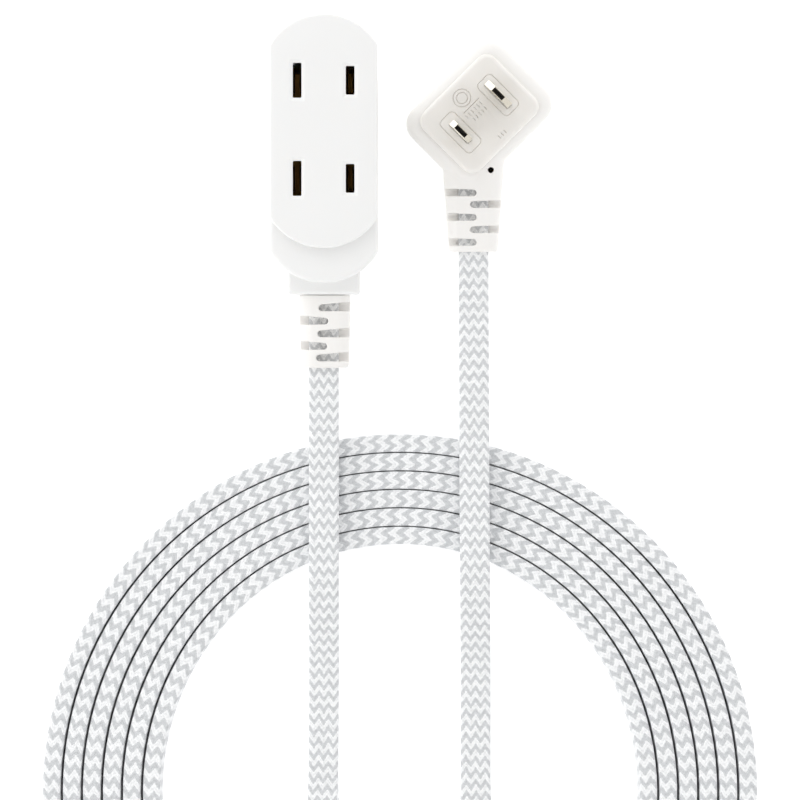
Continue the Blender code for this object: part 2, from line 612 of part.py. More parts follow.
def plug_blade(name, side, width, mat):
    """A flat blade with sloping shoulders, a chamfered tip and a cross hole."""
    tip = INSERT_Z[1] + BLADE_LENGTH
    shape = blade_box(side, width, 0.0, BLADE_ROOT_Z, tip)
    tip_edges = [e for e in shape.edges if all(v.co.z > tip - MM for v in e.verts)]
    shoulders = [e for e in tip_edges if e.calc_length() < 2 * BLADE_THICKNESS]
    bmesh.ops.bevel(shape, geom=shoulders, offset=(width - BLADE_TIP_WIDTH) / 2, offset_type="OFFSET",
                    segments=1, profile=0.5, affect="EDGES", material=-1)
    long_edges = [e for e in shape.edges if e.calc_length() > 2 * BLADE_TIP_CHAMFER + BLADE_THICKNESS
                  and all(v.co.z > tip - MM for v in e.verts)]
    bmesh.ops.bevel(shape, geom=long_edges, offset=BLADE_TIP_CHAMFER, offset_type="OFFSET", segments=1,
                    profile=0.5, affect="EDGES", material=-1)
    blade = to_object(name, shape, mat)
    across = PLUG_PLACE @ Matrix.Translation(
        (side * BLADE_SPACING / 2, 0, INSERT_Z[1] + BLADE_HOLE_HEIGHT)) @ Matrix.Rotation(
        math.radians(90), 4, "Y")
    boolean(blade, "DIFFERENCE", cylinder((0, 0), BLADE_HOLE_RADIUS, -2 * MM, 2 * MM, 20, across))
    return blade


# ---- cord --------------------------------------------------------------------------------------------

def lead(name, route, mat):
    """One insulated core between the end of the cord and its terminal."""
    curve = bpy.data.curves.new(name, "CURVE")
    curve.dimensions = "3D"
    curve.bevel_depth = LEAD_RADIUS
    curve.bevel_resolution = 2
    curve.use_fill_caps = True
    points = smooth_line([(*point, 0.0) for point in route], 8)
    spline = curve.splines.new("POLY")
    spline.points.add(len(points) - 1)
    for point, (x, y, z, _) in zip(spline.points, points):
        point.co = (x * MM, y * MM, z * MM, 1.0)
    curve.materials.append(mat)
    obj = bpy.data.objects.new(name, curve)
    PARTS.objects.link(obj)
    return obj


def cord_section():
    """The flat cord's cross section, swept along both runs."""
    curve = bpy.data.curves.new("cord_section", "CURVE")
    curve.dimensions = "2D"
    curve.fill_mode = "NONE"
    outline = stadium(CORD_WIDTH, CORD_THICKNESS, 4)[::-1]
    spline = curve.splines.new("POLY")
    spline.points.add(len(outline) - 1)
    for point, (x, y) in zip(spline.points, outline):
        point.co = (x, y, 0.0, 1.0)
    spline.use_cyclic_u = True
    section = bpy.data.objects.new("cord_section", curve)
    section.hide_render = True
    section.display_type = "WIRE"
    CUTTERS.objects.link(section)
    return section


def cord_run(name, route, count, section, mat):
    curve = bpy.data.curves.new(name, "CURVE")
    curve.dimensions = "3D"
    curve.twist_mode = "Z_UP"
    curve.bevel_mode = "OBJECT"
    curve.bevel_object = section
    curve.use_fill_caps = True
    points = smooth_line(route, count)
    spline = curve.splines.new("POLY")
    spline.points.add(len(points) - 1)
    for point, (x, y, z, turn) in zip(spline.points, points):
        point.co = (x * MM, y * MM, z * MM, 1.0)
        point.tilt = math.radians(turn)
    curve.materials.append(mat)
    obj = bpy.data.objects.new(name, curve)
    PARTS.objects.link(obj)
    return obj


def ease(value):
    """0 below 0, 1 above 1, and a smooth step between."""
    value = min(max(value, 0.0), 1.0)
    return value * value * (3 - 2 * value)


def tie_lift(angle):
    """How far the coil is raised at an angle by the tie that passes under it."""
    away = abs((angle - TIE_ANGLE + math.pi) % (2 * math.pi) - math.pi)
    return TIE_LIFT * (1 - ease((away - TIE_LIFT_FLAT) / (TIE_LIFT_REACH - TIE_LIFT_FLAT)))


def coil_radius(turns_out, angle):
    """Distance from the coil's centre of a point turns_out turns from its inner face."""
    top = max(math.sin(angle), 0.0) ** 2
    inner = COIL_SIDE_INNER + (COIL_TOP_INNER - COIL_SIDE_INNER) * top
    pitch = COIL_SIDE_PITCH + (COIL_TOP_PITCH - COIL_SIDE_PITCH) * top
    return inner + pitch * turns_out


def cord_coil(mat):
    """The outer shape of the six turns, which stand on edge side by side."""
    bm = bmesh.new()
    width = TURNS * COIL_SIDE_PITCH
    outline = round_rectangle(width, CORD_WIDTH, CORD_THICKNESS / 2, 3)
    verts = [bm.verts.new((x + width / 2, 0.0, z + CORD_WIDTH / 2)) for x, z in outline]
    edges = [bm.edges.new((verts[i - 1], verts[i])) for i in range(len(verts))]
    bmesh.ops.translate(bm, verts=verts, vec=(COIL_SIDE_INNER, 0.0, 0.0))
    bmesh.ops.spin(bm, geom=verts + edges, cent=(0, 0, 0), axis=(0, 0, 1), angle=2 * math.pi,
                   steps=COIL_SEGMENTS, use_merge=True)
    bmesh.ops.remove_doubles(bm, verts=bm.verts, dist=0.001 * MM)
    for vert in bm.verts:
        angle = math.atan2(vert.co.y, vert.co.x)
        turns_out = (math.hypot(vert.co.x, vert.co.y) - COIL_SIDE_INNER) / COIL_SIDE_PITCH
        radius = coil_radius(turns_out, angle)
        vert.co.x, vert.co.y = radius * math.cos(angle), radius * math.sin(angle)
        vert.co.z += tie_lift(angle)
    bmesh.ops.recalc_face_normals(bm, faces=bm.faces)
    return to_object("cord_coil", moved(bm, COIL_CENTRE), mat)


def coil_tie(mat):
    """A hook-and-loop strap closed round all six turns."""
    inner = math.sqrt(COIL_SIDE_INNER ** 2 - (TIE_WIDTH / 2) ** 2) - GAP
    outer = COIL_SIDE_INNER + TURNS * COIL_SIDE_PITCH + GAP
    height = TIE_LIFT - GAP + CORD_WIDTH + 2 * GAP
    low = TIE_LIFT - GAP
    place = Matrix.Translation(COIL_CENTRE) @ Matrix.Rotation(TIE_ANGLE, 4, "Z") @ Matrix.Translation(
        ((inner + outer) / 2, 0, low + (CORD_WIDTH + 2 * GAP) / 2)) @ Matrix.Rotation(math.radians(90), 4, "X")
    width = outer - inner
    opening = height - low
    loop = slab(round_rectangle(width + 2 * TIE_THICKNESS, opening + 2 * TIE_THICKNESS, 2.4 * MM, 3),
                -TIE_WIDTH / 2, TIE_WIDTH / 2, matrix=place)
    tie = to_object("coil_tie", loop, mat)
    hole = slab(round_rectangle(width, opening, 1.2 * MM, 3), -TIE_WIDTH, TIE_WIDTH, matrix=place)
    boolean(tie, "DIFFERENCE", hole)
    return tie


clear_scene()
PARTS = new_collection("extension_cord")
CUTTERS = new_collection("extension_cord_cutters")

shell_plastic = material("white_shell_plastic", (0.86, 0.86, 0.86), 0.35)
sleeve_vinyl = material("white_flexible_vinyl", (0.85, 0.85, 0.84), 0.45)
insert_plastic = material("clear_grey_plastic", (0.74, 0.74, 0.72), 0.3)
carrier_plastic = material("natural_nylon", (0.75, 0.73, 0.66), 0.5)
brass = material("contact_brass", (0.70, 0.52, 0.24), 0.3, 1.0)
nickel = material("nickel_plated_brass", (0.72, 0.71, 0.68), 0.25, 1.0)
zinc = material("zinc_plated_steel", (0.62, 0.63, 0.64), 0.35, 1.0)
neutral_insulation = material("white_lead_insulation", (0.8, 0.8, 0.8), 0.5)
line_insulation = material("black_lead_insulation", (0.03, 0.03, 0.03), 0.5)
braid = material("grey_white_braid", (0.72, 0.73, 0.74), 0.85)
strap = material("grey_hook_and_loop", (0.25, 0.25, 0.26), 0.9)

safety_cover(shell_plastic)
front_shell(shell_plastic)
back_shell(shell_plastic)
strain_relief(sleeve_vinyl)
for screw_name, screw_place in SCREW_PLACES.items():
    shell_screw(screw_name, screw_place, zinc)
contact_carrier(carrier_plastic)
for wire, side, insulation in (("neutral", -1, neutral_insulation), ("line", 1, line_insulation)):
    contact_bus(f"{wire}_bus", side, brass)
    crimp(f"{wire}_crimp", side, nickel)
    lead(f"{wire}_lead", ((side * 1.7, -19.7, 11.0), (side * 2.1, -17.3, 10.2), (side * 2.9, -15.0, 8.6),
                          (side * 3.2, -12.75, 7.6)), insulation)

plug_body(sleeve_vinyl)
plug_insert(insert_plastic)
plug_blade("line_blade", -1, LINE_BLADE_WIDTH, nickel)
plug_blade("neutral_blade", 1, NEUTRAL_BLADE_WIDTH, nickel)
lead("plug_line_lead", ((34.4, 3.8, 5.5), (34.0, 6.0, 5.2), (33.6, 8.4, 5.0), (33.3, 10.9, 5.0)),
     line_insulation)
lead("plug_neutral_lead", ((37.5, 3.8, 5.5), (38.9, 9.0, 5.0), (41.0, 14.5, 5.0), (42.3, 19.4, 5.0)),
     neutral_insulation)

flat_section = cord_section()
cord_run("cord_outlet_run", OUTLET_ROUTE, OUTLET_RUN_POINTS, flat_section, braid)
cord_run("cord_plug_run", PLUG_ROUTE, PLUG_RUN_POINTS, flat_section, braid)
cord_coil(braid)
coil_tie(strap)
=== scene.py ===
"""Two-wire indoor extension cord: outlet head with its safety cover open, braided flat cord laid in a
six-turn coil, and a flat polarised plug lying face up.
"""
import math

import bmesh
import bpy
import numpy as np
from mathutils import Matrix, Vector


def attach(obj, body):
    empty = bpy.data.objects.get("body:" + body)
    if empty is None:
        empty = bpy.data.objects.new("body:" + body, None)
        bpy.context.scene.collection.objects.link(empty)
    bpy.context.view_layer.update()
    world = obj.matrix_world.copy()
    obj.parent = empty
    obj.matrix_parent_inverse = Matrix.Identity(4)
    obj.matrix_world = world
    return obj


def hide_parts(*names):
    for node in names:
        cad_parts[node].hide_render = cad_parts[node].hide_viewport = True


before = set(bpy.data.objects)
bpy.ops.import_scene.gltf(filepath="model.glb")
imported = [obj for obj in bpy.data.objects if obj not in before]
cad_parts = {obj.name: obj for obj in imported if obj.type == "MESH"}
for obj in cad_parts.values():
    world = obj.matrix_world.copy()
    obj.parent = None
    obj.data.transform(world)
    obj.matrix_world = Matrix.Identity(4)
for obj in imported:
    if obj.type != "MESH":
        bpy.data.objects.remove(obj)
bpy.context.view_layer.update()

MM = 0.001
CORD_SET, COVER = "cord_set", "cover"       # the two bodies: everything, and what slides on it


# ---- Table, light and camera ------------------------------------------------------------------------
# A white sweep in a white tent that is open at the top, so level faces are a little greyer than sloping
# ones, slots stay dark and a blade's flat tip reflects black. The tent is a little brighter behind the
# head and to its left, and three softboxes stand to the left, the lowest for the blades' shoulders. The
# sweep glows with painted light that whitens the shadows on it, except under the coil, where the gaps
# between the turns stay dark. The camera hangs far above: blades show their tips and no sides.

def linear(hex_colour):
    """An sRGB hex colour such as #f0f0f0 as linear red, green, blue and alpha."""
    parts = [int(hex_colour[i:i + 2], 16) / 255 for i in (1, 3, 5)]
    return (*[p / 12.92 if p <= 0.04045 else ((p + 0.055) / 1.055) ** 2.4 for p in parts], 1.0)


def add(tree, kind, inputs=None, **settings):
    """Adds a shader node; inputs are sockets to link or plain values."""
    made = tree.nodes.new("ShaderNode" + kind)
    for name, value in settings.items():
        setattr(made, name, value)
    for key, value in (inputs or {}).items():
        if isinstance(value, bpy.types.NodeSocket):
            tree.links.new(value, made.inputs[key])
        else:
            made.inputs[key].default_value = value
    return made


def new_finish(name, colour, roughness, **sockets):
    """A material and its node tree and shader, with constant values set on the shader."""
    finish = bpy.data.materials.new(name)
    finish.use_nodes = True
    tree = finish.node_tree
    shader = tree.nodes["Principled BSDF"]
    shader.inputs["Base Color"].default_value = linear(colour)
    shader.inputs["Roughness"].default_value = roughness
    for socket, value in sockets.items():
        shader.inputs[socket.replace("_", " ")].default_value = value
    return finish, tree, shader


def mesh_of(bm, name):
    """Makes a mesh of a bmesh and frees it."""
    mesh = bpy.data.meshes.new(name)
    bm.to_mesh(mesh)
    bm.free()
    return mesh


def put(name, data):
    """A new object in the scene for a mesh, a curve, a light or a camera."""
    made = bpy.data.objects.new(name, data)
    bpy.context.scene.collection.objects.link(made)
    return made


TABLE_TOP_Z = -0.2 * MM
TABLE_SIZE = 8.0
SWEEP_GLOW = 0.3
COIL_CENTRE = (18.3, -144.6)            # mm
COIL_RING = (72.3 * MM, 12.6 * MM)      # middle radius and half width of where the coil has gaps

bm = bmesh.new()
bmesh.ops.create_grid(bm, x_segments=4, y_segments=4, size=TABLE_SIZE / 2,
                      matrix=Matrix.Translation((0, 0, TABLE_TOP_Z)))
table = put("table_top", mesh_of(bm, "table_top"))
# Painted light: the sweep gives off light of its own though it is no lamp, so shadows on it come out white;
# a ring under the coil is left without it, so the gaps between the turns stay dark.
white_sweep, tree, shader = new_finish("white_paper_sweep", "#fcfcfc", 0.9, Specular_IOR_Level=0.0,
                                       Emission_Color=linear("#ffffff"))
sweep_place = add(tree, "TexCoord")
from_coil = add(tree, "VectorMath", {0: sweep_place.outputs["Object"],
                                     1: (COIL_CENTRE[0] * MM, COIL_CENTRE[1] * MM, 0)},
                operation="DISTANCE")
off_ring = add(tree, "Math", {0: from_coil.outputs["Value"], 1: COIL_RING[0]}, operation="SUBTRACT")
off_ring = add(tree, "Math", {0: off_ring.outputs[0]}, operation="ABSOLUTE")
sweep_glow = add(tree, "MapRange", {"Value": off_ring.outputs[0], "From Min": COIL_RING[1] - MM,
                                    "From Max": COIL_RING[1], "To Min": 0.0, "To Max": SWEEP_GLOW})
tree.links.new(sweep_glow.outputs[0], shader.inputs["Emission Strength"])
table.data.materials.append(white_sweep)

TENT_STRENGTH = 1.12
TENT_FOOT = 0.82                        # of that strength, at the level of the table
TENT_FOOT_TOP = 0.55                    # upward component where the full strength begins
TENT_OPENING = (0.96, 0.88)             # upward component of directions: all open, all tent
TENT_BRIGHT_SIDE = (-0.7, 0.7, 0.0)
TENT_UNEVENNESS = 0.08

world = bpy.data.worlds.new("light_tent")
world.use_nodes = True
tree = world.node_tree
way = add(tree, "TexCoord")
height = add(tree, "SeparateXYZ", {0: way.outputs["Generated"]})
tent = add(tree, "MapRange", {"Value": height.outputs["Z"], "From Min": TENT_OPENING[0],
                              "From Max": TENT_OPENING[1], "To Min": 0.0, "To Max": TENT_STRENGTH},
           interpolation_type="SMOOTHSTEP")
foot = add(tree, "MapRange", {"Value": height.outputs["Z"], "From Min": 0.0,
                              "From Max": TENT_FOOT_TOP, "To Min": TENT_FOOT, "To Max": 1.0})
towards = add(tree, "VectorMath", {0: way.outputs["Generated"], 1: TENT_BRIGHT_SIDE},
              operation="DOT_PRODUCT")
uneven = add(tree, "Math", {0: towards.outputs["Value"], 1: TENT_UNEVENNESS, 2: 1.0},
             operation="MULTIPLY_ADD")
glow = add(tree, "Math", {0: tent.outputs[0], 1: uneven.outputs[0]}, operation="MULTIPLY")
glow = add(tree, "Math", {0: glow.outputs[0], 1: foot.outputs[0]}, operation="MULTIPLY")
tree.links.new(glow.outputs[0], tree.nodes["Background"].inputs["Strength"])
tree.nodes["Background"].inputs["Color"].default_value = linear("#ffffff")
bpy.context.scene.world = world


def softbox(name, place, aim, size, power):
    """A square light at a place, turned to what it lights."""
    light = bpy.data.lights.new(name, "AREA")
    light.shape = "SQUARE"
    light.size = size
    light.energy = power
    box = put(name, light)
    box.location = place
    box.rotation_euler = (Vector(aim) - Vector(place)).to_track_quat("-Z", "Y").to_euler()


VIEW_CENTRE = Vector((18.3 * MM, -50.1 * MM, 20.0 * MM))
softbox("softbox_back_left", (-0.6, 1.4, 1.3), VIEW_CENTRE, 0.9, 2.4)
softbox("softbox_front_left", (-1.3, -0.9, 0.8), VIEW_CENTRE, 0.7, 2.4)
softbox("softbox_low", (-1.3, 1.35, 0.12), VIEW_CENTRE, 0.4, 1.2)

CAMERA_HEIGHT = 4.0
VIEW_WIDTH = 191.85 * MM                # at the height of the outlets and the blades' tips
SENSOR = 36.0

camera_data = bpy.data.cameras.new("camera")
camera_data.sensor_width = SENSOR
camera_data.lens = SENSOR * CAMERA_HEIGHT / VIEW_WIDTH
camera_data.clip_end = 20.0
camera = put("camera", camera_data)
camera.location = VIEW_CENTRE + Vector((0, 0, CAMERA_HEIGHT))
bpy.context.scene.camera = camera
bpy.context.scene.view_settings.view_transform = "Standard"


# ---- Cord ------------------------------------------------------------------------------------------
# A flat cord of two cores side by side in a braided polyester sleeve, grey and white in zigzag rows.
# It runs flat to the coil, rolls onto its edge, takes six turns outwards, climbs onto the last of them
# and runs flat to the plug.

CORD_WIDTH = 7.2 * MM
CORD_THICKNESS = 4.2 * MM
CORD_CORNER = 0.7 * MM
CORD_STEP, CORNER_STEPS = 1.2 * MM, 5

# x, y, z in mm and the cord's turn about its own line in degrees: 0 lies flat, 90 stands on edge.
OUTLET_ROUTE = (
    (0.0, -20.3, 11.0, 0), (0.0, -32.0, 11.0, 0), (0.0, -42.4, 11.0, 0), (0.0, -52.0, 10.3, 0),
    (0.0, -61.0, 9.7, 0), (0.0, -74.0, 9.65, 0), (0.0, -87.0, 9.6, 0), (0.0, -95.0, 8.5, 0),
    (0.0, -103.0, 5.9, 0), (0.0, -111.0, 3.3, 0), (0.0, -119.0, 2.25, 0), (-0.1, -132.0, 2.25, 0),
    (-0.2, -146.0, 2.6, 8), (-0.2, -156.0, 3.75, 45), (0.4, -165.8, 3.8, 82),
    (3.8, -175.8, 3.7, 90), (10.2, -184.2, 3.65, 90), (18.8, -190.2, 3.65, 90),
    (28.8, -193.3, 3.65, 90), (39.3, -193.1, 3.65, 90), (48.2, -190.2, 3.65, 90),
)
PLUG_ROUTE = (
    (35.95, 3.2, 5.5, 0), (35.95, -7.0, 5.5, 0), (36.0, -17.0, 5.5, 0), (36.05, -30.0, 6.2, 0),
    (36.1, -44.0, 8.4, 0), (36.15, -58.0, 9.65, 0), (36.2, -72.0, 9.7, 0), (36.3, -87.0, 9.6, 0),
    (36.35, -95.0, 8.5, 0), (36.4, -103.0, 5.9, 0), (36.45, -111.0, 3.3, 0), (36.5, -119.0, 2.25, 0),
    (36.5, -132.0, 2.25, 0), (36.5, -146.0, 2.5, 5), (36.5, -156.0, 3.4, 28), (36.5, -166.0, 5.3, 55),
    (36.5, -176.0, 8.2, 78), (36.5, -185.5, 10.5, 88), (36.5, -194.6, 11.15, 90),
    (34.2, -206.0, 11.15, 90), (27.9, -215.8, 11.15, 90), (18.5, -222.8, 11.15, 90),
    (7.3, -225.9, 11.15, 90),
)

# The coil in mm and degrees. A turn keeps to its lane over the top and sides and moves one lane out
# on its way along the bottom. The tie passes under it and lifts it off the table there.
COIL_TURNS = 6
COIL_SIDE_INNER, COIL_SIDE_PITCH = 57.1, 4.82
COIL_TOP_INNER, COIL_TOP_PITCH = 59.7, 4.44
COIL_START, COIL_END = -62.0, 360 * (COIL_TURNS - 1) + 257.2
COIL_STEP = 15.0
COIL_LEAN = 4.8                         # the turns lean outwards on both sides of the coil
LANE_SHIFT_START, LANE_SHIFT_LENGTH = 250.0, 105.0
ENTRY_LENGTH = 57.0
CLIMB_START, CLIMB_LENGTH = 360 * (COIL_TURNS - 1) + 195.0, 55.0
ON_TABLE_Z, ON_TURN_Z = 3.7, 11.15
TIE_ANGLE = 340.0
TIE_LIFT, TIE_LIFT_FLAT, TIE_LIFT_REACH = 1.5, 8.0, 28.0


def ease(value):
    """0 below 0, 1 above 1, and a smooth step between."""
    value = min(max(value, 0.0), 1.0)
    return value * value * (3 - 2 * value)


def tie_lift(angle):
    """How far the tie lifts the turns off the table at an angle round the coil."""
    away = abs((angle - TIE_ANGLE + 180) % 360 - 180)
    return TIE_LIFT * (1 - ease((away - TIE_LIFT_FLAT) / (TIE_LIFT_REACH - TIE_LIFT_FLAT)))


def coil_radius(turns_out, angle):
    """Distance from the coil's centre of a point turns_out turns from its inner face."""
    top = max(math.sin(math.radians(angle)), 0.0) ** 2
    inner = COIL_SIDE_INNER + (COIL_TOP_INNER - COIL_SIDE_INNER) * top
    pitch = COIL_SIDE_PITCH + (COIL_TOP_PITCH - COIL_SIDE_PITCH) * top
    return inner + pitch * turns_out


def coil_point(angle):
    """Where the cord is at an angle that goes on counting from turn to turn."""
    lane = -1 + ease((angle - COIL_START) / ENTRY_LENGTH)
    for turn in range(COIL_TURNS - 1):
        lane += ease((angle - LANE_SHIFT_START - 360 * turn) / LANE_SHIFT_LENGTH)
    radius = coil_radius(lane + 0.5, angle)
    z = ON_TABLE_Z + tie_lift(angle)
    z += (ON_TURN_Z - z) * ease((angle - CLIMB_START) / CLIMB_LENGTH)
    across, up = math.cos(math.radians(angle)), math.sin(math.radians(angle))
    return COIL_CENTRE[0] + radius * across, COIL_CENTRE[1] + radius * up, z, 90 + COIL_LEAN * across ** 2


def smooth_line(route, step):
    """Evenly spaced points (x, y, z, turn) on a natural cubic spline through the route."""
    knots = np.array(route, dtype=float)
    steps = np.linalg.norm(np.diff(knots[:, :3], axis=0), axis=1)
    along = np.concatenate(([0.0], np.cumsum(steps)))
    size = len(knots)
    system = np.eye(size)
    slopes = np.zeros_like(knots)
    for i in range(1, size - 1):
        system[i, i - 1:i + 2] = steps[i - 1], 2 * (steps[i - 1] + steps[i]), steps[i]
        after = (knots[i + 1] - knots[i]) / steps[i]
        before = (knots[i] - knots[i - 1]) / steps[i - 1]
        slopes[i] = 6 * (after - before)
    bend = np.linalg.solve(system, slopes)
    points = []
    for s in np.linspace(0.0, along[-1], round(along[-1] / step) + 1):
        i = min(int(np.searchsorted(along, s, side="right")) - 1, size - 2)
        left, right, h = s - along[i], along[i + 1] - s, steps[i]
        points.append(bend[i] * right ** 3 / (6 * h) + bend[i + 1] * left ** 3 / (6 * h)
                      + (knots[i] / h - bend[i] * h / 6) * right
                      + (knots[i + 1] / h - bend[i + 1] * h / 6) * left)
    return np.array(points)


def round_corner_section(width, thickness, corner, steps):
    """A rounded rectangle's points, clockwise from the middle of its upper face."""
    points = [(0.0, thickness / 2)]
    for side_x, side_y, start in ((1, 1, 90), (1, -1, 0), (-1, -1, -90), (-1, 1, -180)):
        centre_x, centre_y = side_x * (width / 2 - corner), side_y * (thickness / 2 - corner)
        for i in range(steps + 1):
            angle = math.radians(start - 90 * i / steps)
            points.append((centre_x + corner * math.cos(angle), centre_y + corner * math.sin(angle)))
        if side_y == -1 and side_x == 1:
            points.append((0.0, -thickness / 2))
    return points


def swept(name, line, section):
    """A closed section swept along points (x, y, z, turn) in mm, kept level and turned by turn."""
    profile = bpy.data.curves.new(name + "_section", "CURVE")
    ring = profile.splines.new("POLY")
    ring.points.add(len(section) - 1)
    for point, (x, y) in zip(ring.points, section):
        point.co = (x, y, 0.0, 1.0)
    ring.use_cyclic_u = True
    profile_object = put(name + "_section", profile)
    curve = bpy.data.curves.new(name, "CURVE")
    curve.dimensions = "3D"
    curve.twist_mode = "Z_UP"
    curve.bevel_mode = "OBJECT"
    curve.bevel_object = profile_object
    spline = curve.splines.new("POLY")
    spline.points.add(len(line) - 1)
    for point, (x, y, z, turn) in zip(spline.points, line):
        point.co = (x * MM, y * MM, z * MM, 1.0)
        point.tilt = math.radians(turn)
    path_object = put(name + "_path", curve)
    bpy.context.view_layer.update()
    evaluated = path_object.evaluated_get(bpy.context.evaluated_depsgraph_get())
    mesh = bpy.data.meshes.new_from_object(evaluated)
    mesh.name = name
    for used in (path_object, profile_object):
        bpy.data.objects.remove(used)
    for used in (curve, profile):
        bpy.data.curves.remove(used)
    return mesh


coil_angles = np.arange(COIL_START + COIL_STEP, COIL_END, COIL_STEP)
cord_route = [*OUTLET_ROUTE, *[coil_point(a) for a in coil_angles], *PLUG_ROUTE[::-1]]
cord_line = smooth_line(cord_route, CORD_STEP / MM)
cord_section = round_corner_section(CORD_WIDTH, CORD_THICKNESS, CORD_CORNER, CORNER_STEPS)
cord_mesh = swept("braided_cord", cord_line, cord_section)

# The braid has nine zigs round the cord. They are narrower on the flat faces than round the edges,
# and the rows stand closer on the runs than where the coil stretches the sleeve.
FACE_ZIGS, QUARTER_ZIGS = 1.26, 2.25
RUN_ROW, COIL_ROW = 2.83, 3.6
STRETCH_START, STRETCH_LENGTH = 130.0, 200.0
ZIG_HEIGHT = 1.75                       # mm along the cord
YARNS_IN_ROW = 4
WAVER = 0.3                             # of a row
BAND_EDGE = (0.21, 0.32)                # of a row, from the middle of a white band
BAND_TONES = ("#fdfeff", "#d8dadc")


def zigs_round(distance, quarter):
    """How many zigs lie between the middle of the cord's face and a point round its section."""
    whole, rest = divmod(distance, quarter)
    flat = CORD_WIDTH / 2 - CORD_CORNER

    def zigs(span):
        if span < flat:
            return FACE_ZIGS * span / flat
        return FACE_ZIGS + (QUARTER_ZIGS - FACE_ZIGS) * (span - flat) / (quarter - flat)

    if whole % 2:
        return (whole + 1) * QUARTER_ZIGS - zigs(quarter - rest)
    return whole * QUARTER_ZIGS + zigs(rest)


def map_braid(mesh, line, section):
    """Gives the cord its braid map, zigs round it and rows along it, and a zig's height in rows."""
    around = np.array([*section, section[0]])
    distances = np.concatenate(([0.0], np.cumsum(np.linalg.norm(np.diff(around, axis=0), axis=1))))
    zigs = [zigs_round(min(d, distances[-1] - 1e-9), distances[-1] / 4) for d in distances]
    along = np.concatenate(([0.0], np.cumsum(np.linalg.norm(np.diff(line[:, :3], axis=0), axis=1))))
    from_end = np.minimum(along, along[-1] - along)
    pitch = [RUN_ROW + (COIL_ROW - RUN_ROW) * ease((s - STRETCH_START) / STRETCH_LENGTH) for s in from_end]
    rows = np.concatenate(([0.0], np.cumsum(np.diff(along) / np.array(pitch)[1:])))
    count = len(section)
    zig_rows = mesh.attributes.new("zig_rows", "FLOAT", "POINT")
    zig_rows.data.foreach_set("value", np.repeat(ZIG_HEIGHT / np.array(pitch), count))
    braid_map = mesh.uv_layers[0]
    braid_map.name = "braid"
    for face in mesh.polygons:
        places = [vert % count for vert in face.vertices]
        wraps = 0 in places and count - 1 in places
        for loop, vert, place in zip(face.loop_indices, face.vertices, places):
            braid_map.data[loop].uv = (zigs[count if wraps and place == 0 else place], rows[vert // count])


map_braid(cord_mesh, cord_line, cord_section)

# Polyester multifilament yarn, white and cool grey: dull, a little soft at grazing angles. Yarns are
# drawn 0.7 to 0.9 mm wide, about twice the real ones, so that they show.
braid_finish, tree, shader = new_finish("braided_polyester", "#f4f4f4", 0.85, Sheen_Weight=0.15,
                                        Sheen_Roughness=0.5, Specular_IOR_Level=0.25)
braid_map = add(tree, "UVMap", uv_map="braid")
axes = add(tree, "SeparateXYZ", {0: braid_map.outputs[0]})
place_on_cord = add(tree, "TexCoord")
waver = add(tree, "TexNoise", {"Vector": place_on_cord.outputs["Object"], "Scale": 800.0, "Detail": 3.0})
zig_rows = add(tree, "Attribute", attribute_name="zig_rows")
zig = add(tree, "Math", {0: axes.outputs["X"], 1: 0.5}, operation="PINGPONG")
stepped = add(tree, "Math", {0: zig.outputs[0], 1: 0.125}, operation="SNAP")
woven = add(tree, "Math", {0: zig.outputs[0], 1: stepped.outputs[0]}, operation="ADD")
lifted = add(tree, "Math", {0: woven.outputs[0], 1: zig_rows.outputs["Fac"], 2: axes.outputs["Y"]},
             operation="MULTIPLY_ADD")
row = add(tree, "Math", {0: waver.outputs[0], 1: WAVER, 2: lifted.outputs[0]}, operation="MULTIPLY_ADD")
band = add(tree, "Math", {0: row.outputs[0], 1: 0.5}, operation="PINGPONG")
is_grey = add(tree, "MapRange", {"Value": band.outputs[0], "From Min": BAND_EDGE[0],
                                 "From Max": BAND_EDGE[1]}, interpolation_type="SMOOTHSTEP")
yarn = add(tree, "Math", {0: row.outputs[0], 1: YARNS_IN_ROW}, operation="MULTIPLY")
yarn_side = add(tree, "Math", {0: yarn.outputs[0], 1: 0.5}, operation="PINGPONG")
corner = add(tree, "Math", {0: axes.outputs["X"], 1: 0.25}, operation="PINGPONG")
crossing = add(tree, "MapRange", {"Value": corner.outputs[0], "From Min": 0.0, "From Max": 0.09,
                                  "To Min": 0.45, "To Max": 1.0}, interpolation_type="SMOOTHSTEP")
yarn_top = add(tree, "MapRange", {"Value": yarn_side.outputs[0], "From Min": 0.0, "From Max": 0.35},
               interpolation_type="SMOOTHSTEP")
height = add(tree, "Math", {0: yarn_top.outputs[0], 1: crossing.outputs[0]}, operation="MULTIPLY")
tone = add(tree, "Mix", {0: is_grey.outputs[0], 6: linear(BAND_TONES[0]), 7: linear(BAND_TONES[1])},
           data_type="RGBA")
uneven_dye = add(tree, "TexNoise", {"Vector": place_on_cord.outputs["Object"], "Scale": 1500.0})
shade = add(tree, "Math", {0: uneven_dye.outputs[0], 1: 0.45, 2: 0.71}, operation="MULTIPLY_ADD")
# Painted shade: besides the uneven dye, the colour darkens a little in the grooves between yarns and where
# the yarns dip at the zig corners.
shade = add(tree, "Math", {0: height.outputs[0], 1: 0.07, 2: shade.outputs[0]}, operation="MULTIPLY_ADD")
shaded = add(tree, "VectorMath", {0: tone.outputs[2], 1: shade.outputs[0]}, operation="MULTIPLY")
fibres = add(tree, "TexNoise", {"Vector": place_on_cord.outputs["Object"], "Scale": 5000.0, "Detail": 2.0})
relief = add(tree, "Math", {0: fibres.outputs[0], 1: 0.25, 2: height.outputs[0]}, operation="MULTIPLY_ADD")
bump = add(tree, "Bump", {"Height": relief.outputs[0], "Strength": 0.6, "Distance": 0.12 * MM})
tree.links.new(shaded.outputs[0], shader.inputs["Base Color"])
tree.links.new(bump.outputs[0], shader.inputs["Normal"])


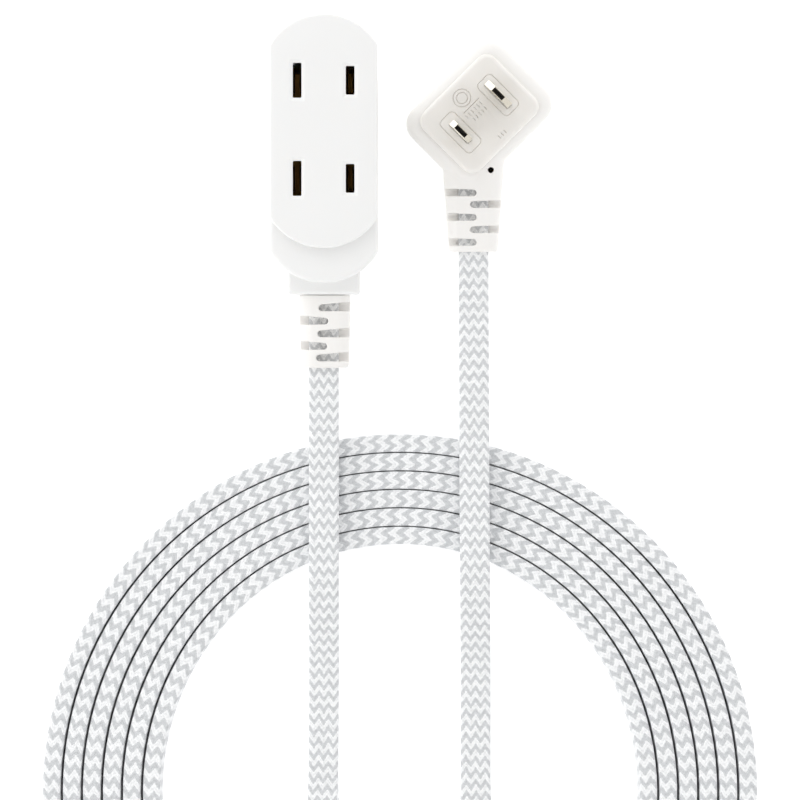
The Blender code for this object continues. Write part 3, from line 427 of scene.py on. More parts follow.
def place_piece(name, bm, finish, smooth_angle=35):
    """Makes a bmesh a finished piece, smooth except over sharper edges."""
    mesh = mesh_of(bm, name)
    mesh.shade_smooth()
    mesh.set_sharp_from_angle(angle=math.radians(smooth_angle))
    mesh.materials.clear()
    mesh.materials.append(finish)
    return put(name, mesh)


bm = bmesh.new()
bm.from_mesh(cord_mesh)
bmesh.ops.holes_fill(bm, edges=[e for e in bm.edges if e.is_boundary], sides=0)
bmesh.ops.recalc_face_normals(bm, faces=bm.faces)
cord = place_piece("braided_cord", bm, braid_finish, 60)
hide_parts("cord_outlet_run", "cord_coil", "cord_plug_run")
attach(cord, CORD_SET)


# ---- Coil tie ----------------------------------------------------------------------------------------
# A strap of hook-and-loop tape round all six turns: a nylon web with a fuzzy loop face, closed over
# itself on top of the coil.

TIE_WIDTH = 12.0 * MM
TIE_THICKNESS = 1.1 * MM
TIE_INNER_RADIUS, TIE_OUTER_RADIUS = 54.6 * MM, 86.3 * MM
TIE_BOTTOM_Z, TIE_TOP_Z = 0.7 * MM, 9.5 * MM     # of the strap's middle layer
TIE_CORNER = 2.4 * MM
TIE_OVERLAP = (62.0 * MM, 79.0 * MM)
TIE_RISE, TIE_RISE_BEFORE = 1.3 * MM, 3.5 * MM
TIE_GREY = "#54565a"


def turn_vert(bm, vert, centre, axis, degrees, steps):
    """Turns the end of a chain of edges about a centre and returns the new end."""
    made = bmesh.ops.spin(bm, geom=[vert], cent=centre, axis=axis, angle=math.radians(degrees), steps=steps)
    return next(g for g in made["geom_last"] if isinstance(g, bmesh.types.BMVert))


def step_vert(bm, vert, place):
    """Draws a chain of edges on to a place and returns the new end."""
    end = bm.verts.new(place)
    bm.edges.new((vert, end))
    return end


def draw_out(bm, width):
    """Draws a chain of edges out along Y into a ribbon."""
    made = bmesh.ops.extrude_edge_only(bm, edges=bm.edges)
    bmesh.ops.translate(bm, verts=[g for g in made["geom"] if isinstance(g, bmesh.types.BMVert)],
                        vec=(0, width, 0))
    bmesh.ops.recalc_face_normals(bm, faces=bm.faces)


bm = bmesh.new()
near_x, far_x = TIE_INNER_RADIUS + TIE_CORNER, TIE_OUTER_RADIUS - TIE_CORNER
low_z, high_z = TIE_BOTTOM_Z + TIE_CORNER, TIE_TOP_Z - TIE_CORNER
end = bm.verts.new((TIE_OVERLAP[0], 0, TIE_TOP_Z))
for x, z, from_x, from_z in ((far_x, high_z, 0, 1), (far_x, low_z, 1, 0), (near_x, low_z, 0, -1),
                             (near_x, high_z, -1, 0)):
    end = step_vert(bm, end, (x + from_x * TIE_CORNER, 0, z + from_z * TIE_CORNER))
    end = turn_vert(bm, end, (x, 0, z), (0, 1, 0), 90, 6)
for share in range(1, 7):
    lift = TIE_RISE * ease(share / 6)
    end = step_vert(bm, end, (TIE_OVERLAP[0] - TIE_RISE_BEFORE + share * MM, 0, TIE_TOP_Z + lift))
end = step_vert(bm, end, (TIE_OVERLAP[1], 0, TIE_TOP_Z + TIE_RISE))
draw_out(bm, TIE_WIDTH)
bmesh.ops.translate(bm, verts=bm.verts, vec=(0, -TIE_WIDTH / 2, 0))
bm.transform(Matrix.Translation((COIL_CENTRE[0] * MM, COIL_CENTRE[1] * MM, 0))
             @ Matrix.Rotation(math.radians(TIE_ANGLE), 4, "Z"))

strap_finish, tree, shader = new_finish("nylon_hook_and_loop", TIE_GREY, 0.95, Sheen_Weight=0.4,
                                        Specular_IOR_Level=0.2)
fuzz_place = add(tree, "TexCoord")
fuzz = add(tree, "TexNoise", {"Vector": fuzz_place.outputs["Object"], "Scale": 2200.0, "Detail": 3.0})
fuzz_tone = add(tree, "MapRange", {"Value": fuzz.outputs[0], "From Min": 0.3, "From Max": 0.7,
                                   "To Min": 0.6, "To Max": 1.35})
fuzz_colour = add(tree, "VectorMath", {0: linear(TIE_GREY)[:3], 1: fuzz_tone.outputs[0]},
                  operation="MULTIPLY")
fuzz_bump = add(tree, "Bump", {"Height": fuzz.outputs[0], "Strength": 0.8, "Distance": 0.3 * MM})
tree.links.new(fuzz_colour.outputs[0], shader.inputs["Base Color"])
tree.links.new(fuzz_bump.outputs[0], shader.inputs["Normal"])
tie = place_piece("hook_and_loop_tie", bm, strap_finish)
wall = tie.modifiers.new("thickness", "SOLIDIFY")
wall.thickness = TIE_THICKNESS
wall.offset = 0.0
edge_round = tie.modifiers.new("worn_edges", "BEVEL")
edge_round.width = 0.25 * MM
edge_round.segments = 2
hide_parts("coil_tie")
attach(tie, CORD_SET)


# ---- Outlet head: back shell -------------------------------------------------------------------------
# The lower half of the head's casing, injection moulded in white ABS: a tray with an arc at each end,
# three screw bosses and half of the neck. Its outside has a very fine spark-eroded texture.

BODY_HALF_WIDTH = 13.1 * MM
BODY_TOP_Y, BODY_BOTTOM_Y = 34.2 * MM, -22.0 * MM
END_ARC_RADIUS = 15.1 * MM
ARC_CORNER = 1.5 * MM
DECK_Z = 22.0 * MM
DECK_THICKNESS = FLOOR_THICKNESS = 2.0 * MM
WALL = 1.8 * MM
BODY_EDGE, MOULD_RADIUS = 1.0 * MM, 0.15 * MM
SEAM_Z, SEAM_GAP = 11.0 * MM, 0.3 * MM
FIT = 0.3 * MM                          # clearance between moulded parts

NECK_HALF_WIDTH = 8.7 * MM
NECK_END_Y, NECK_ROOT_Y = -24.8 * MM, -15.0 * MM
NECK_THICKNESS = 13.0 * MM
NECK_CORNER, NECK_EDGE = 0.9 * MM, 0.8 * MM
NECK_END_WALL, NECK_HOLLOW_HALF_HEIGHT = 2.14 * MM, 4.7 * MM
HEAD_CORD_Z = 11.0 * MM
SLEEVE_WAIST = (10.0 * MM, 7.4 * MM)

SCREW_PLACES = {"shell_screw_top": (0.0, 29.8 * MM), "shell_screw_left": (-8.6 * MM, -11.5 * MM),
                "shell_screw_right": (8.6 * MM, -11.5 * MM)}
SCREW_HEAD_RADIUS, SCREW_SHAFT_RADIUS = 2.0 * MM, 1.0 * MM
SCREW_SEAT_Z, SCREW_TOP_Z = 3.0 * MM, 17.0 * MM
BACK_BOSS_RADIUS, FRONT_BOSS_RADIUS = 3.3 * MM, 2.4 * MM


def thicken(bm, depth, edge=0.0, segments=4):
    """Gives a flat face depth upwards and rounds both of its rims."""
    low = min(v.co.z for v in bm.verts)
    made = bmesh.ops.extrude_face_region(bm, geom=bm.faces[:])
    bmesh.ops.translate(bm, verts=[g for g in made["geom"] if isinstance(g, bmesh.types.BMVert)],
                        vec=(0, 0, depth))
    if edge:
        rims = [e for e in bm.edges if abs(e.verts[0].co.z - e.verts[1].co.z) < depth / 2]
        bmesh.ops.bevel(bm, geom=rims, offset=edge, segments=segments, profile=0.5, affect="EDGES",
                        material=-1)
    bmesh.ops.recalc_face_normals(bm, faces=bm.faces)
    return bm


def arc_ended_slab(half_width, bottom_y, top_y, low, high, edge=0.0, end_radius=END_ARC_RADIUS,
                   corner=ARC_CORNER):
    """The head's outline with thickness: straight sides closed by shallow arcs with filleted ends."""
    bm = bmesh.new()
    up = (0, 0, 1)
    fillet_x = half_width - corner
    fillet_y = math.sqrt((end_radius - corner) ** 2 - fillet_x ** 2)
    lean = math.degrees(math.atan2(fillet_y, fillet_x))
    top, bottom = top_y - end_radius, bottom_y + end_radius
    first = bm.verts.new((half_width, top + fillet_y, low))
    end = turn_vert(bm, first, (fillet_x, top + fillet_y, low), up, lean, 5)
    end = turn_vert(bm, end, (0, top, low), up, 180 - 2 * lean, 40)
    end = turn_vert(bm, end, (-fillet_x, top + fillet_y, low), up, lean, 5)
    end = step_vert(bm, end, (-half_width, bottom - fillet_y, low))
    end = turn_vert(bm, end, (-fillet_x, bottom - fillet_y, low), up, lean, 5)
    end = turn_vert(bm, end, (0, bottom, low), up, 180 - 2 * lean, 40)
    end = turn_vert(bm, end, (fillet_x, bottom - fillet_y, low), up, lean, 5)
    bm.edges.new((end, first))
    bmesh.ops.contextual_create(bm, geom=bm.edges[:])
    return thicken(bm, high - low, edge)


def rounded_slab(width, height, corner, low, high, edge=0.0, corner_segments=8, edge_segments=4):
    """A block with rounded upright corners and rounded rims, centred on the Z axis."""
    bm = bmesh.new()
    bmesh.ops.create_grid(bm, x_segments=1, y_segments=1, size=0.5)
    bmesh.ops.scale(bm, verts=bm.verts, vec=(width, height, 1))
    bmesh.ops.translate(bm, verts=bm.verts, vec=(0, 0, low))
    bmesh.ops.bevel(bm, geom=bm.verts[:], offset=corner, segments=corner_segments, profile=0.5,
                    affect="VERTICES", material=-1)
    return thicken(bm, high - low, edge, edge_segments)


def block(low, high):
    """A plain block between two corners, for cuts."""
    low, high = Vector(low), Vector(high)
    bm = bmesh.new()
    bmesh.ops.create_cube(bm, size=1.0, matrix=Matrix.Translation((low + high) / 2)
                          @ Matrix.Diagonal((*(high - low), 1.0)))
    return bm


def rod(place, radius, low, high, segments=32, top_radius=None):
    """An upright rod or cone."""
    bm = bmesh.new()
    bmesh.ops.create_cone(bm, cap_ends=True, segments=segments, radius1=radius,
                          radius2=radius if top_radius is None else top_radius, depth=high - low,
                          matrix=Matrix.Translation((place[0], place[1], (low + high) / 2)))
    return bm


def together(shapes):
    """Several separate shapes as one bmesh."""
    whole, *rest = shapes
    for shape in rest:
        mesh = mesh_of(shape, "part_of_whole")
        whole.from_mesh(mesh)
        bpy.data.meshes.remove(mesh)
    return whole


def worked(bm, *steps):
    """A shape after modifiers. A step is (modifier type, settings), and settings may hold a tool shape."""
    blank = put("blank", mesh_of(bm, "blank"))
    tools = []
    for kind, settings in steps:
        modifier = blank.modifiers.new(kind.lower(), kind)
        for name, value in settings.items():
            if isinstance(value, bmesh.types.BMesh):
                value = put("tool", mesh_of(value, "tool"))
                tools.append(value)
            setattr(modifier, name, value)
    bpy.context.view_layer.update()
    done_mesh = bpy.data.meshes.new_from_object(blank.evaluated_get(bpy.context.evaluated_depsgraph_get()))
    done = bmesh.new()
    done.from_mesh(done_mesh)
    for used in (blank, *tools):
        used_mesh = used.data
        bpy.data.objects.remove(used)
        bpy.data.meshes.remove(used_mesh)
    bpy.data.meshes.remove(done_mesh)
    return done


def cut(bm, *tools):
    """A shape less its tools."""
    return worked(bm, *[("BOOLEAN", {"operation": "DIFFERENCE", "object": tool}) for tool in tools])


def joined(bm, *tools):
    """A shape with others joined to it."""
    return worked(bm, *[("BOOLEAN", {"operation": "UNION", "object": tool}) for tool in tools])


def moved(bm, place):
    """A shape moved by a vector."""
    bm.transform(Matrix.Translation(place))
    return bm


def break_edges(piece, width, angle=40):
    """The small radius that a mould leaves on every edge."""
    rounding = piece.modifiers.new("mould_radius", "BEVEL")
    rounding.width = width
    rounding.segments = 2
    rounding.limit_method = "ANGLE"
    rounding.angle_limit = math.radians(angle)
    rounding.harden_normals = True


def screw_rods(radius, low, high):
    """A rod on each screw's axis."""
    return together([rod(place, radius, low, high) for place in SCREW_PLACES.values()])


def casing(keep_low, keep_high):
    """The whole casing, hollow, between two heights."""
    shell = arc_ended_slab(BODY_HALF_WIDTH, BODY_BOTTOM_Y, BODY_TOP_Y, 0.0, DECK_Z, BODY_EDGE)
    neck = moved(rounded_slab(2 * NECK_HALF_WIDTH, NECK_ROOT_Y - NECK_END_Y, NECK_CORNER,
                              -NECK_THICKNESS / 2, NECK_THICKNESS / 2, NECK_EDGE),
                 (0, (NECK_END_Y + NECK_ROOT_Y) / 2, HEAD_CORD_Z))
    shell = joined(shell, neck)
    hollow = arc_ended_slab(BODY_HALF_WIDTH - WALL, BODY_BOTTOM_Y + WALL, BODY_TOP_Y - WALL,
                            FLOOR_THICKNESS, DECK_Z - DECK_THICKNESS, 0.0, END_ARC_RADIUS - WALL, MM)
    neck_hollow = block((-NECK_HALF_WIDTH + WALL, NECK_END_Y + NECK_END_WALL,
                         HEAD_CORD_Z - NECK_HOLLOW_HALF_HEIGHT),
                        (NECK_HALF_WIDTH - WALL, NECK_ROOT_Y, HEAD_CORD_Z + NECK_HOLLOW_HALF_HEIGHT))
    mouth = block((-SLEEVE_WAIST[0] / 2 - FIT, NECK_END_Y - MM, HEAD_CORD_Z - SLEEVE_WAIST[1] / 2 - FIT),
                  (SLEEVE_WAIST[0] / 2 + FIT, NECK_ROOT_Y - MM, HEAD_CORD_Z + SLEEVE_WAIST[1] / 2 + FIT))
    reach = 60 * MM                     # past the casing on every side
    below = block((-reach, -reach, -reach), (reach, reach, keep_low))
    above = block((-reach, -reach, keep_high), (reach, reach, reach))
    return cut(shell, hollow, neck_hollow, mouth, below, above)


def plastic(name, colour, roughness, depth, grain=None, rub=None, tones=None, blue_depth=0.8):
    """A plastic that light enters a little.

    grain is the scale and strength of its fine texture, rub the scale and range of the roughness that
    handling gives it, and tones the scale and the two colours of its cloudiness.
    """
    finish, tree, shader = new_finish(name, colour, roughness, Subsurface_Weight=depth,
                                      Subsurface_Scale=MM, Subsurface_Radius=(1.0, 0.9, blue_depth))
    place = add(tree, "TexCoord").outputs["Object"]
    if grain:
        texture = add(tree, "TexNoise", {"Vector": place, "Scale": grain[0], "Detail": 2.0})
        bump = add(tree, "Bump", {"Height": texture.outputs[0], "Strength": grain[1],
                                  "Distance": 0.02 * MM})
        tree.links.new(bump.outputs[0], shader.inputs["Normal"])
    if rub:
        patches = add(tree, "TexNoise", {"Vector": place, "Scale": rub[0], "Detail": 4.0})
        dullness = add(tree, "MapRange", {"Value": patches.outputs[0], "To Min": rub[1], "To Max": rub[2]})
        tree.links.new(dullness.outputs[0], shader.inputs["Roughness"])
    if tones:
        cloud = add(tree, "TexNoise", {"Vector": place, "Scale": tones[0], "Detail": 3.0})
        tone = add(tree, "Mix", {0: cloud.outputs[0], 6: linear(tones[1]), 7: linear(tones[2])},
                   data_type="RGBA")
        tree.links.new(tone.outputs[2], shader.inputs["Base Color"])
    return finish


abs_white = plastic("spark_textured_abs", "#f7f7f6", 0.42, 0.08, grain=(3500.0, 0.25),
                    rub=(90.0, 0.34, 0.5))

back = casing(-MM, SEAM_Z - SEAM_GAP / 2)
back = joined(back, screw_rods(BACK_BOSS_RADIUS, 0.5 * FLOOR_THICKNESS, SEAM_Z - SEAM_GAP / 2))
back = cut(back, screw_rods(SCREW_SHAFT_RADIUS + FIT, FLOOR_THICKNESS, SEAM_Z + MM),
           screw_rods(SCREW_HEAD_RADIUS + FIT, -MM, SCREW_SEAT_Z))
back_shell = place_piece("back_half_shell", back, abs_white)
break_edges(back_shell, MOULD_RADIUS)
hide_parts("back_shell")
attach(back_shell, CORD_SET)


# ---- Outlet head: screws -----------------------------------------------------------------------------
# Three small pan-head thread-forming screws in zinc-plated steel, driven in from behind.

SCREW_HEAD_HEIGHT = 1.4 * MM
THREAD_PITCH = 0.9 * MM
THREAD_DEPTH = 0.14 * MM
SCREW_POINT, SCREW_HEAD_ROUND = 0.8 * MM, 0.6 * MM
RECESS_HALF_WIDTH, RECESS_REACH, RECESS_DEPTH = 0.28 * MM, 1.25 * MM, 0.8 * MM


def metal(name, colour, roughness, spread, grain, relief=0.0):
    """A metal whose roughness spreads between two values over a grain of a scale in each direction."""
    finish, tree, shader = new_finish(name, colour, roughness, Metallic=1.0)
    place = add(tree, "TexCoord")
    along_grain = add(tree, "Mapping", {"Vector": place.outputs["Object"], "Scale": grain})
    marks = add(tree, "TexNoise", {"Vector": along_grain.outputs[0], "Scale": 1.0, "Detail": 3.0})
    dullness = add(tree, "MapRange", {"Value": marks.outputs[0], "To Min": spread[0], "To Max": spread[1]})
    tree.links.new(dullness.outputs[0], shader.inputs["Roughness"])
    if relief:
        bump = add(tree, "Bump", {"Height": marks.outputs[0], "Strength": relief, "Distance": 0.01 * MM})
        tree.links.new(bump.outputs[0], shader.inputs["Normal"])
    return finish


zinc = metal("zinc_plated_steel", "#b9bcc1", 0.34, (0.26, 0.5), (1500, 1500, 1500))

for name, place in SCREW_PLACES.items():
    head_top = SCREW_SEAT_Z - FIT
    head_bottom = head_top - SCREW_HEAD_HEIGHT
    bm = bmesh.new()
    end = bm.verts.new((0, 0, SCREW_TOP_Z))
    end = step_vert(bm, end, (SCREW_SHAFT_RADIUS * 0.5, 0, SCREW_TOP_Z))
    end = step_vert(bm, end, (SCREW_SHAFT_RADIUS - THREAD_DEPTH, 0, SCREW_TOP_Z - SCREW_POINT))
    z = SCREW_TOP_Z - MM
    while z > head_top + 2 * MM:
        end = step_vert(bm, end, (SCREW_SHAFT_RADIUS, 0, z))
        end = step_vert(bm, end, (SCREW_SHAFT_RADIUS - THREAD_DEPTH, 0, z - THREAD_PITCH / 2))
        z -= THREAD_PITCH
    end = step_vert(bm, end, (SCREW_SHAFT_RADIUS, 0, head_top))
    end = step_vert(bm, end, (SCREW_HEAD_RADIUS, 0, head_top))
    end = step_vert(bm, end, (SCREW_HEAD_RADIUS, 0, head_bottom + SCREW_HEAD_ROUND))
    end = turn_vert(bm, end, (SCREW_HEAD_RADIUS - SCREW_HEAD_ROUND, 0, head_bottom + SCREW_HEAD_ROUND),
                    (0, 1, 0), 90, 5)
    step_vert(bm, end, (0, 0, head_bottom))
    bmesh.ops.spin(bm, geom=bm.verts[:] + bm.edges[:], cent=(0, 0, 0), axis=(0, 0, 1),
                   angle=math.tau, steps=32, use_merge=True)
    bmesh.ops.remove_doubles(bm, verts=bm.verts, dist=0.001 * MM)
    bmesh.ops.recalc_face_normals(bm, faces=bm.faces)
    bm = cut(bm, *[block((-x, -y, head_bottom - MM), (x, y, head_bottom + RECESS_DEPTH))
                   for x, y in ((RECESS_HALF_WIDTH, RECESS_REACH), (RECESS_REACH, RECESS_HALF_WIDTH))])
    screw = place_piece(name.replace("shell_screw", "pan_head_screw"), moved(bm, (*place, 0)), zinc, 30)
    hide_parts(name)
    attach(screw, CORD_SET)


# ---- Outlet head: contacts ---------------------------------------------------------------------------
# Two strips of half-hard brass, stamped and folded, with two pairs of spring fingers each. The fingers
# close in above the strip and flare at their tips to let a blade in.

OUTLET_YS = (26.5 * MM, 3.0 * MM)
BLADE_SPACING = 12.7 * MM
BUS_WIDTH, BUS_THICKNESS = 5.0 * MM, 0.8 * MM
BUS_CORNER, BUS_EDGE = 0.5 * MM, 0.12 * MM
BUS_Z = 4.8 * MM
BUS_ENDS_Y = (-7.0 * MM, 28.4 * MM)
CRIMP_X, CRIMP_END_Y = 3.2 * MM, -12.4 * MM
TAIL_HALF_WIDTH, TAIL_INSET = 1.2 * MM, 0.02 * MM
FINGER_TOP_Z = 17.6 * MM
FINGER_THICKNESS = 0.5 * MM
FINGER_LENGTH, FINGER_FLARE_HEIGHT = 6.0 * MM, 2.6 * MM
FINGER_ROOT, FINGER_WAIST, FINGER_TIP = 1.45 * MM, 0.8 * MM, 1.15 * MM      # from the blade's middle

brass = metal("stamped_brass", "#cfa75d", 0.3, (0.22, 0.44), (9000, 300, 9000), 0.2)


def finger(x, y, offset):
    """One spring finger: a leaf that leans in to the blade and flares at its tip."""
    bm = bmesh.new()
    root_z = BUS_Z + 0.5 * BUS_THICKNESS
    waist_z, tip_z = FINGER_TOP_Z - FINGER_FLARE_HEIGHT, FINGER_TOP_Z
    side_y = y - FINGER_LENGTH / 2
    end = bm.verts.new((x + offset * FINGER_ROOT, side_y, root_z))
    for share in range(1, 9):
        lean = FINGER_ROOT + (FINGER_WAIST - FINGER_ROOT) * ease(share / 8)
        end = step_vert(bm, end, (x + offset * lean, side_y, root_z + (waist_z - root_z) * share / 8))
    for share in range(1, 5):
        flare = FINGER_WAIST + (FINGER_TIP - FINGER_WAIST) * (share / 4) ** 2
        end = step_vert(bm, end, (x + offset * flare, side_y, waist_z + (tip_z - waist_z) * share / 4))
    draw_out(bm, FINGER_LENGTH)
    return worked(bm, ("SOLIDIFY", {"thickness": FINGER_THICKNESS, "offset": 0.0}))


for wire, side in (("neutral", -1), ("line", 1)):
    x = side * BLADE_SPACING / 2
    strip = moved(rounded_slab(BUS_WIDTH, BUS_ENDS_Y[1] - BUS_ENDS_Y[0], BUS_CORNER, BUS_Z,
                               BUS_Z + BUS_THICKNESS, BUS_EDGE), (x, sum(BUS_ENDS_Y) / 2, 0))
    tail_x = side * CRIMP_X
    tail = block((tail_x - TAIL_HALF_WIDTH, CRIMP_END_Y, BUS_Z + TAIL_INSET),
                 (tail_x + TAIL_HALF_WIDTH, BUS_ENDS_Y[0] + MM, BUS_Z + BUS_THICKNESS - TAIL_INSET))
    fingers = [finger(x, y, offset) for y in OUTLET_YS for offset in (-1, 1)]
    strip = joined(strip, tail, together(fingers))
    contact = place_piece(f"{wire}_contact_strip", strip, brass, 30)
    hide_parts(f"{wire}_bus")
    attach(contact, CORD_SET)


# ---- Outlet head: contact tray, terminals and cores ----------------------------------------------------
# Unfilled nylon tray under the strips, tinned crimp barrels, and the cord's two insulated cores. Their
# shapes are the frame's own; only the finishes are made here.

nylon = plastic("natural_nylon", "#e6e1d0", 0.5, 0.3, tones=(120.0, "#ded8c4", "#eeeadb"), blue_depth=0.7)
tinned = metal("tinned_brass", "#cfd0cf", 0.36, (0.25, 0.5), (1200, 1200, 1200))


def extruded_vinyl(name, dark, light):
    """Wire insulation: smooth extruded PVC with faint lengthwise streaks."""
    finish, tree, shader = new_finish(name, light, 0.38)
    place = add(tree, "TexCoord")
    streaks = add(tree, "TexNoise", {"Vector": place.outputs["Object"], "Scale": 900.0, "Detail": 2.0})
    tone = add(tree, "Mix", {0: streaks.outputs[0], 6: linear(dark), 7: linear(light)}, data_type="RGBA")
    tree.links.new(tone.outputs[2], shader.inputs["Base Color"])
    return finish


white_core = extruded_vinyl("white_core_insulation", "#dcdcda", "#f0f0ee")
black_core = extruded_vinyl("black_core_insulation", "#141414", "#242424")
for node, finish in (("contact_carrier", nylon), ("neutral_crimp", tinned), ("line_crimp", tinned),
                     ("neutral_lead", white_core), ("line_lead", black_core),
                     ("plug_neutral_lead", white_core), ("plug_line_lead", black_core)):
    for material_slot in bpy.data.objects[node].material_slots:
        material_slot.material = finish


# ---- Outlet head: front shell ------------------------------------------------------------------------
# The upper half of the casing, in the same ABS: it carries the deck that the cover slides on, with four
# blade slots and two guide slots for the cover's hooks.

SLOT_WIDTH, SLOT_CORNER = 2.1 * MM, 0.3 * MM
NEUTRAL_SLOT, LINE_SLOT = 8.4 * MM, 6.9 * MM
LEG_YS = (24.5 * MM, -1.5 * MM)
LEG_WIDTH, LEG_LENGTH = 2.4 * MM, 2.5 * MM
COVER_TRAVEL = 8.3 * MM


def blade_slots(low, high, spread=0.0):
    """Cutters for the four blade slots; spread widens each one all round towards its top."""
    shapes = []
    for y in OUTLET_YS:
        for side, length in ((-1, NEUTRAL_SLOT), (1, LINE_SLOT)):
            x = side * BLADE_SPACING / 2
            shape = rounded_slab(SLOT_WIDTH, length, SLOT_CORNER, low, high, corner_segments=3)
            for vert in shape.verts:
                if vert.co.z > (low + high) / 2:
                    vert.co.x += math.copysign(spread, vert.co.x)
                    vert.co.y += math.copysign(spread, vert.co.y)
            shapes.append(moved(shape, (x, y, 0)))
    return together(shapes)


front = casing(SEAM_Z + SEAM_GAP / 2, DECK_Z + MM)
front = joined(front, screw_rods(FRONT_BOSS_RADIUS, SEAM_Z + SEAM_GAP / 2, DECK_Z - 0.5 * DECK_THICKNESS))
guides = []
for y in LEG_YS:
    travel = LEG_LENGTH + COVER_TRAVEL + 2 * FIT
    guide = rounded_slab(LEG_WIDTH + 2 * FIT, travel, SLOT_CORNER, DECK_Z - DECK_THICKNESS - MM,
                         DECK_Z + MM)
    guides.append(moved(guide, (0, y + LEG_LENGTH / 2 + FIT - travel / 2, 0)))
front = cut(front, screw_rods(SCREW_SHAFT_RADIUS, SEAM_Z - MM, SCREW_TOP_Z + FIT), together(guides),
            blade_slots(DECK_Z - DECK_THICKNESS - MM, DECK_Z + MM))
front_shell = place_piece("front_half_shell", front, abs_white)
break_edges(front_shell, MOULD_RADIUS)
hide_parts("front_shell")
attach(front_shell, CORD_SET)


# ---- Safety cover --------------------------------------------------------------------------------------
# A sliding plate in the same ABS, 8.3 mm open here. Two legs pass through the deck and hook under it.
# Its slots have a shallow sloping lead-in all round.

COVER_HALF_WIDTH = 12.95 * MM
COVER_TOP_Y, COVER_BOTTOM_Y = 42.4 * MM, -13.7 * MM
COVER_THICKNESS = 3.0 * MM
COVER_EDGE = 0.6 * MM
LEAD_IN_DEPTH, LEAD_IN_SPREAD = 0.45 * MM, 0.8 * MM
HOOK_WIDTH, HOOK_THICKNESS, HOOK_EDGE = 5.6 * MM, 1.3 * MM, 0.2 * MM

low, high = DECK_Z + FIT, DECK_Z + FIT + COVER_THICKNESS
plate = arc_ended_slab(COVER_HALF_WIDTH, COVER_BOTTOM_Y, COVER_TOP_Y, low, high, COVER_EDGE)
hook_top = DECK_Z - DECK_THICKNESS - FIT
for y in LEG_YS:
    leg = moved(rounded_slab(LEG_WIDTH, LEG_LENGTH, SLOT_CORNER, hook_top - 0.5 * HOOK_THICKNESS,
                             low + 0.5 * COVER_THICKNESS), (0, y, 0))
    hook = moved(rounded_slab(HOOK_WIDTH, LEG_LENGTH, SLOT_CORNER, hook_top - HOOK_THICKNESS, hook_top,
                              HOOK_EDGE), (0, y, 0))
    plate = joined(plate, leg, hook)
plate = cut(plate, blade_slots(low - MM, high + MM),
            blade_slots(high - LEAD_IN_DEPTH, high + LEAD_IN_DEPTH, 2 * LEAD_IN_SPREAD))
cover = place_piece("sliding_safety_cover", plate, abs_white, 20)
break_edges(cover, 0.1 * MM)
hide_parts("safety_cover")
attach(cover, COVER)


# ---- Strain relief -------------------------------------------------------------------------------------
# A sleeve of flexible white vinyl, moulded on the cord: finger slots from alternate sides let it bend,
# and a thin web beside the cord keeps it in one piece. A flange inside the neck holds it.

SLEEVE_END_Y = -42.4 * MM
SLEEVE_WIDTH, SLEEVE_THICKNESS = 12.4 * MM, 10.0 * MM
SLEEVE_CORNER, SLEEVE_EDGE = 3.6 * MM, 0.9 * MM
SLEEVE_END_SCALE = 0.94
SLEEVE_SEAM = 0.12 * MM                 # between the sleeve and the neck
SLEEVE_ASIDE = 0.25 * MM                # the moulding sits a little to one side of the cord
SLEEVE_FLANGE = (12.6 * MM, 8.6 * MM)
SLEEVE_FLANGE_END = 4.0 * MM            # past the end of the neck
SLEEVE_SLOT_YS = tuple(y * MM for y in (-27.95, -31.15, -34.2, -37.2, -40.0))
SLEEVE_SLOT_HEIGHTS = (1.5 * MM, 2.25 * MM)      # at its tip, and where it leaves the sleeve's side
SLEEVE_SLOT_PAST = 1.25 * MM
SLEEVE_SLOT_DRIFT = -0.15 * MM          # sideways from each slot to the next
SLEEVE_SLOT_TILT = 2.6                  # degrees; outer ends stand nearer the head
WEB_THICKNESS = 1.2 * MM
GRIP = 0.05 * MM                        # how tightly the moulding closes on the cord


def laid_along(bm, root_y):
    """Lays an upright shape down along -Y from root_y."""
    bm.transform(Matrix.Translation((0, root_y, 0)) @ Matrix.Rotation(math.radians(90), 4, "X"))
    return bm


def tapered_bar(width, thickness, corner, edge, root_y, end_y, end_scale):
    """A round-cornered bar along -Y, drawn in towards its end, with a rounded rim there."""
    length = root_y - end_y
    bm = rounded_slab(width, thickness, corner, 0.0, length)
    rim = [e for e in bm.edges if all(v.co.z > 0.9 * length for v in e.verts)]
    bmesh.ops.bevel(bm, geom=rim, offset=edge, segments=4, profile=0.5, affect="EDGES", material=-1)
    for vert in bm.verts:
        scale = 1 + (end_scale - 1) * vert.co.z / length
        vert.co.x *= scale
        vert.co.y *= scale
    return laid_along(bm, root_y)


def cord_bore(root_y, end_y):
    """The cord's own section, a little tight, along Y."""
    bm = rounded_slab(CORD_WIDTH - 2 * GRIP, CORD_THICKNESS - 2 * GRIP, CORD_CORNER - GRIP,
                      0.0, root_y - end_y)
    return laid_along(bm, root_y)


def finger_slots(slot_ys, heights, past_centre, first_side, tilt, drift=0.0):
    """Cutters above and below the web, open to alternate sides, centred on the cord's line."""
    reach, half_width = 12 * MM, 6 * MM
    shapes = []
    for i, y in enumerate(slot_ys):
        side = first_side if i % 2 == 0 else -first_side
        length = reach + past_centre
        for low, high in ((WEB_THICKNESS / 2, reach), (-reach, -WEB_THICKNESS / 2)):
            shape = rounded_slab(length, heights[0], 0.49 * heights[0], low, high, corner_segments=6)
            moved(shape, (side * (length / 2 - past_centre), 0, 0))
            for vert in shape.verts:
                out = (side * vert.co.x + past_centre) / (half_width + past_centre)
                vert.co.y *= 1 + (heights[1] / heights[0] - 1) * out
            shape.transform(Matrix.Rotation(math.radians(side * tilt), 4, "Z"))
            shapes.append(moved(shape, (i * drift, y, 0)))
    return together(shapes)


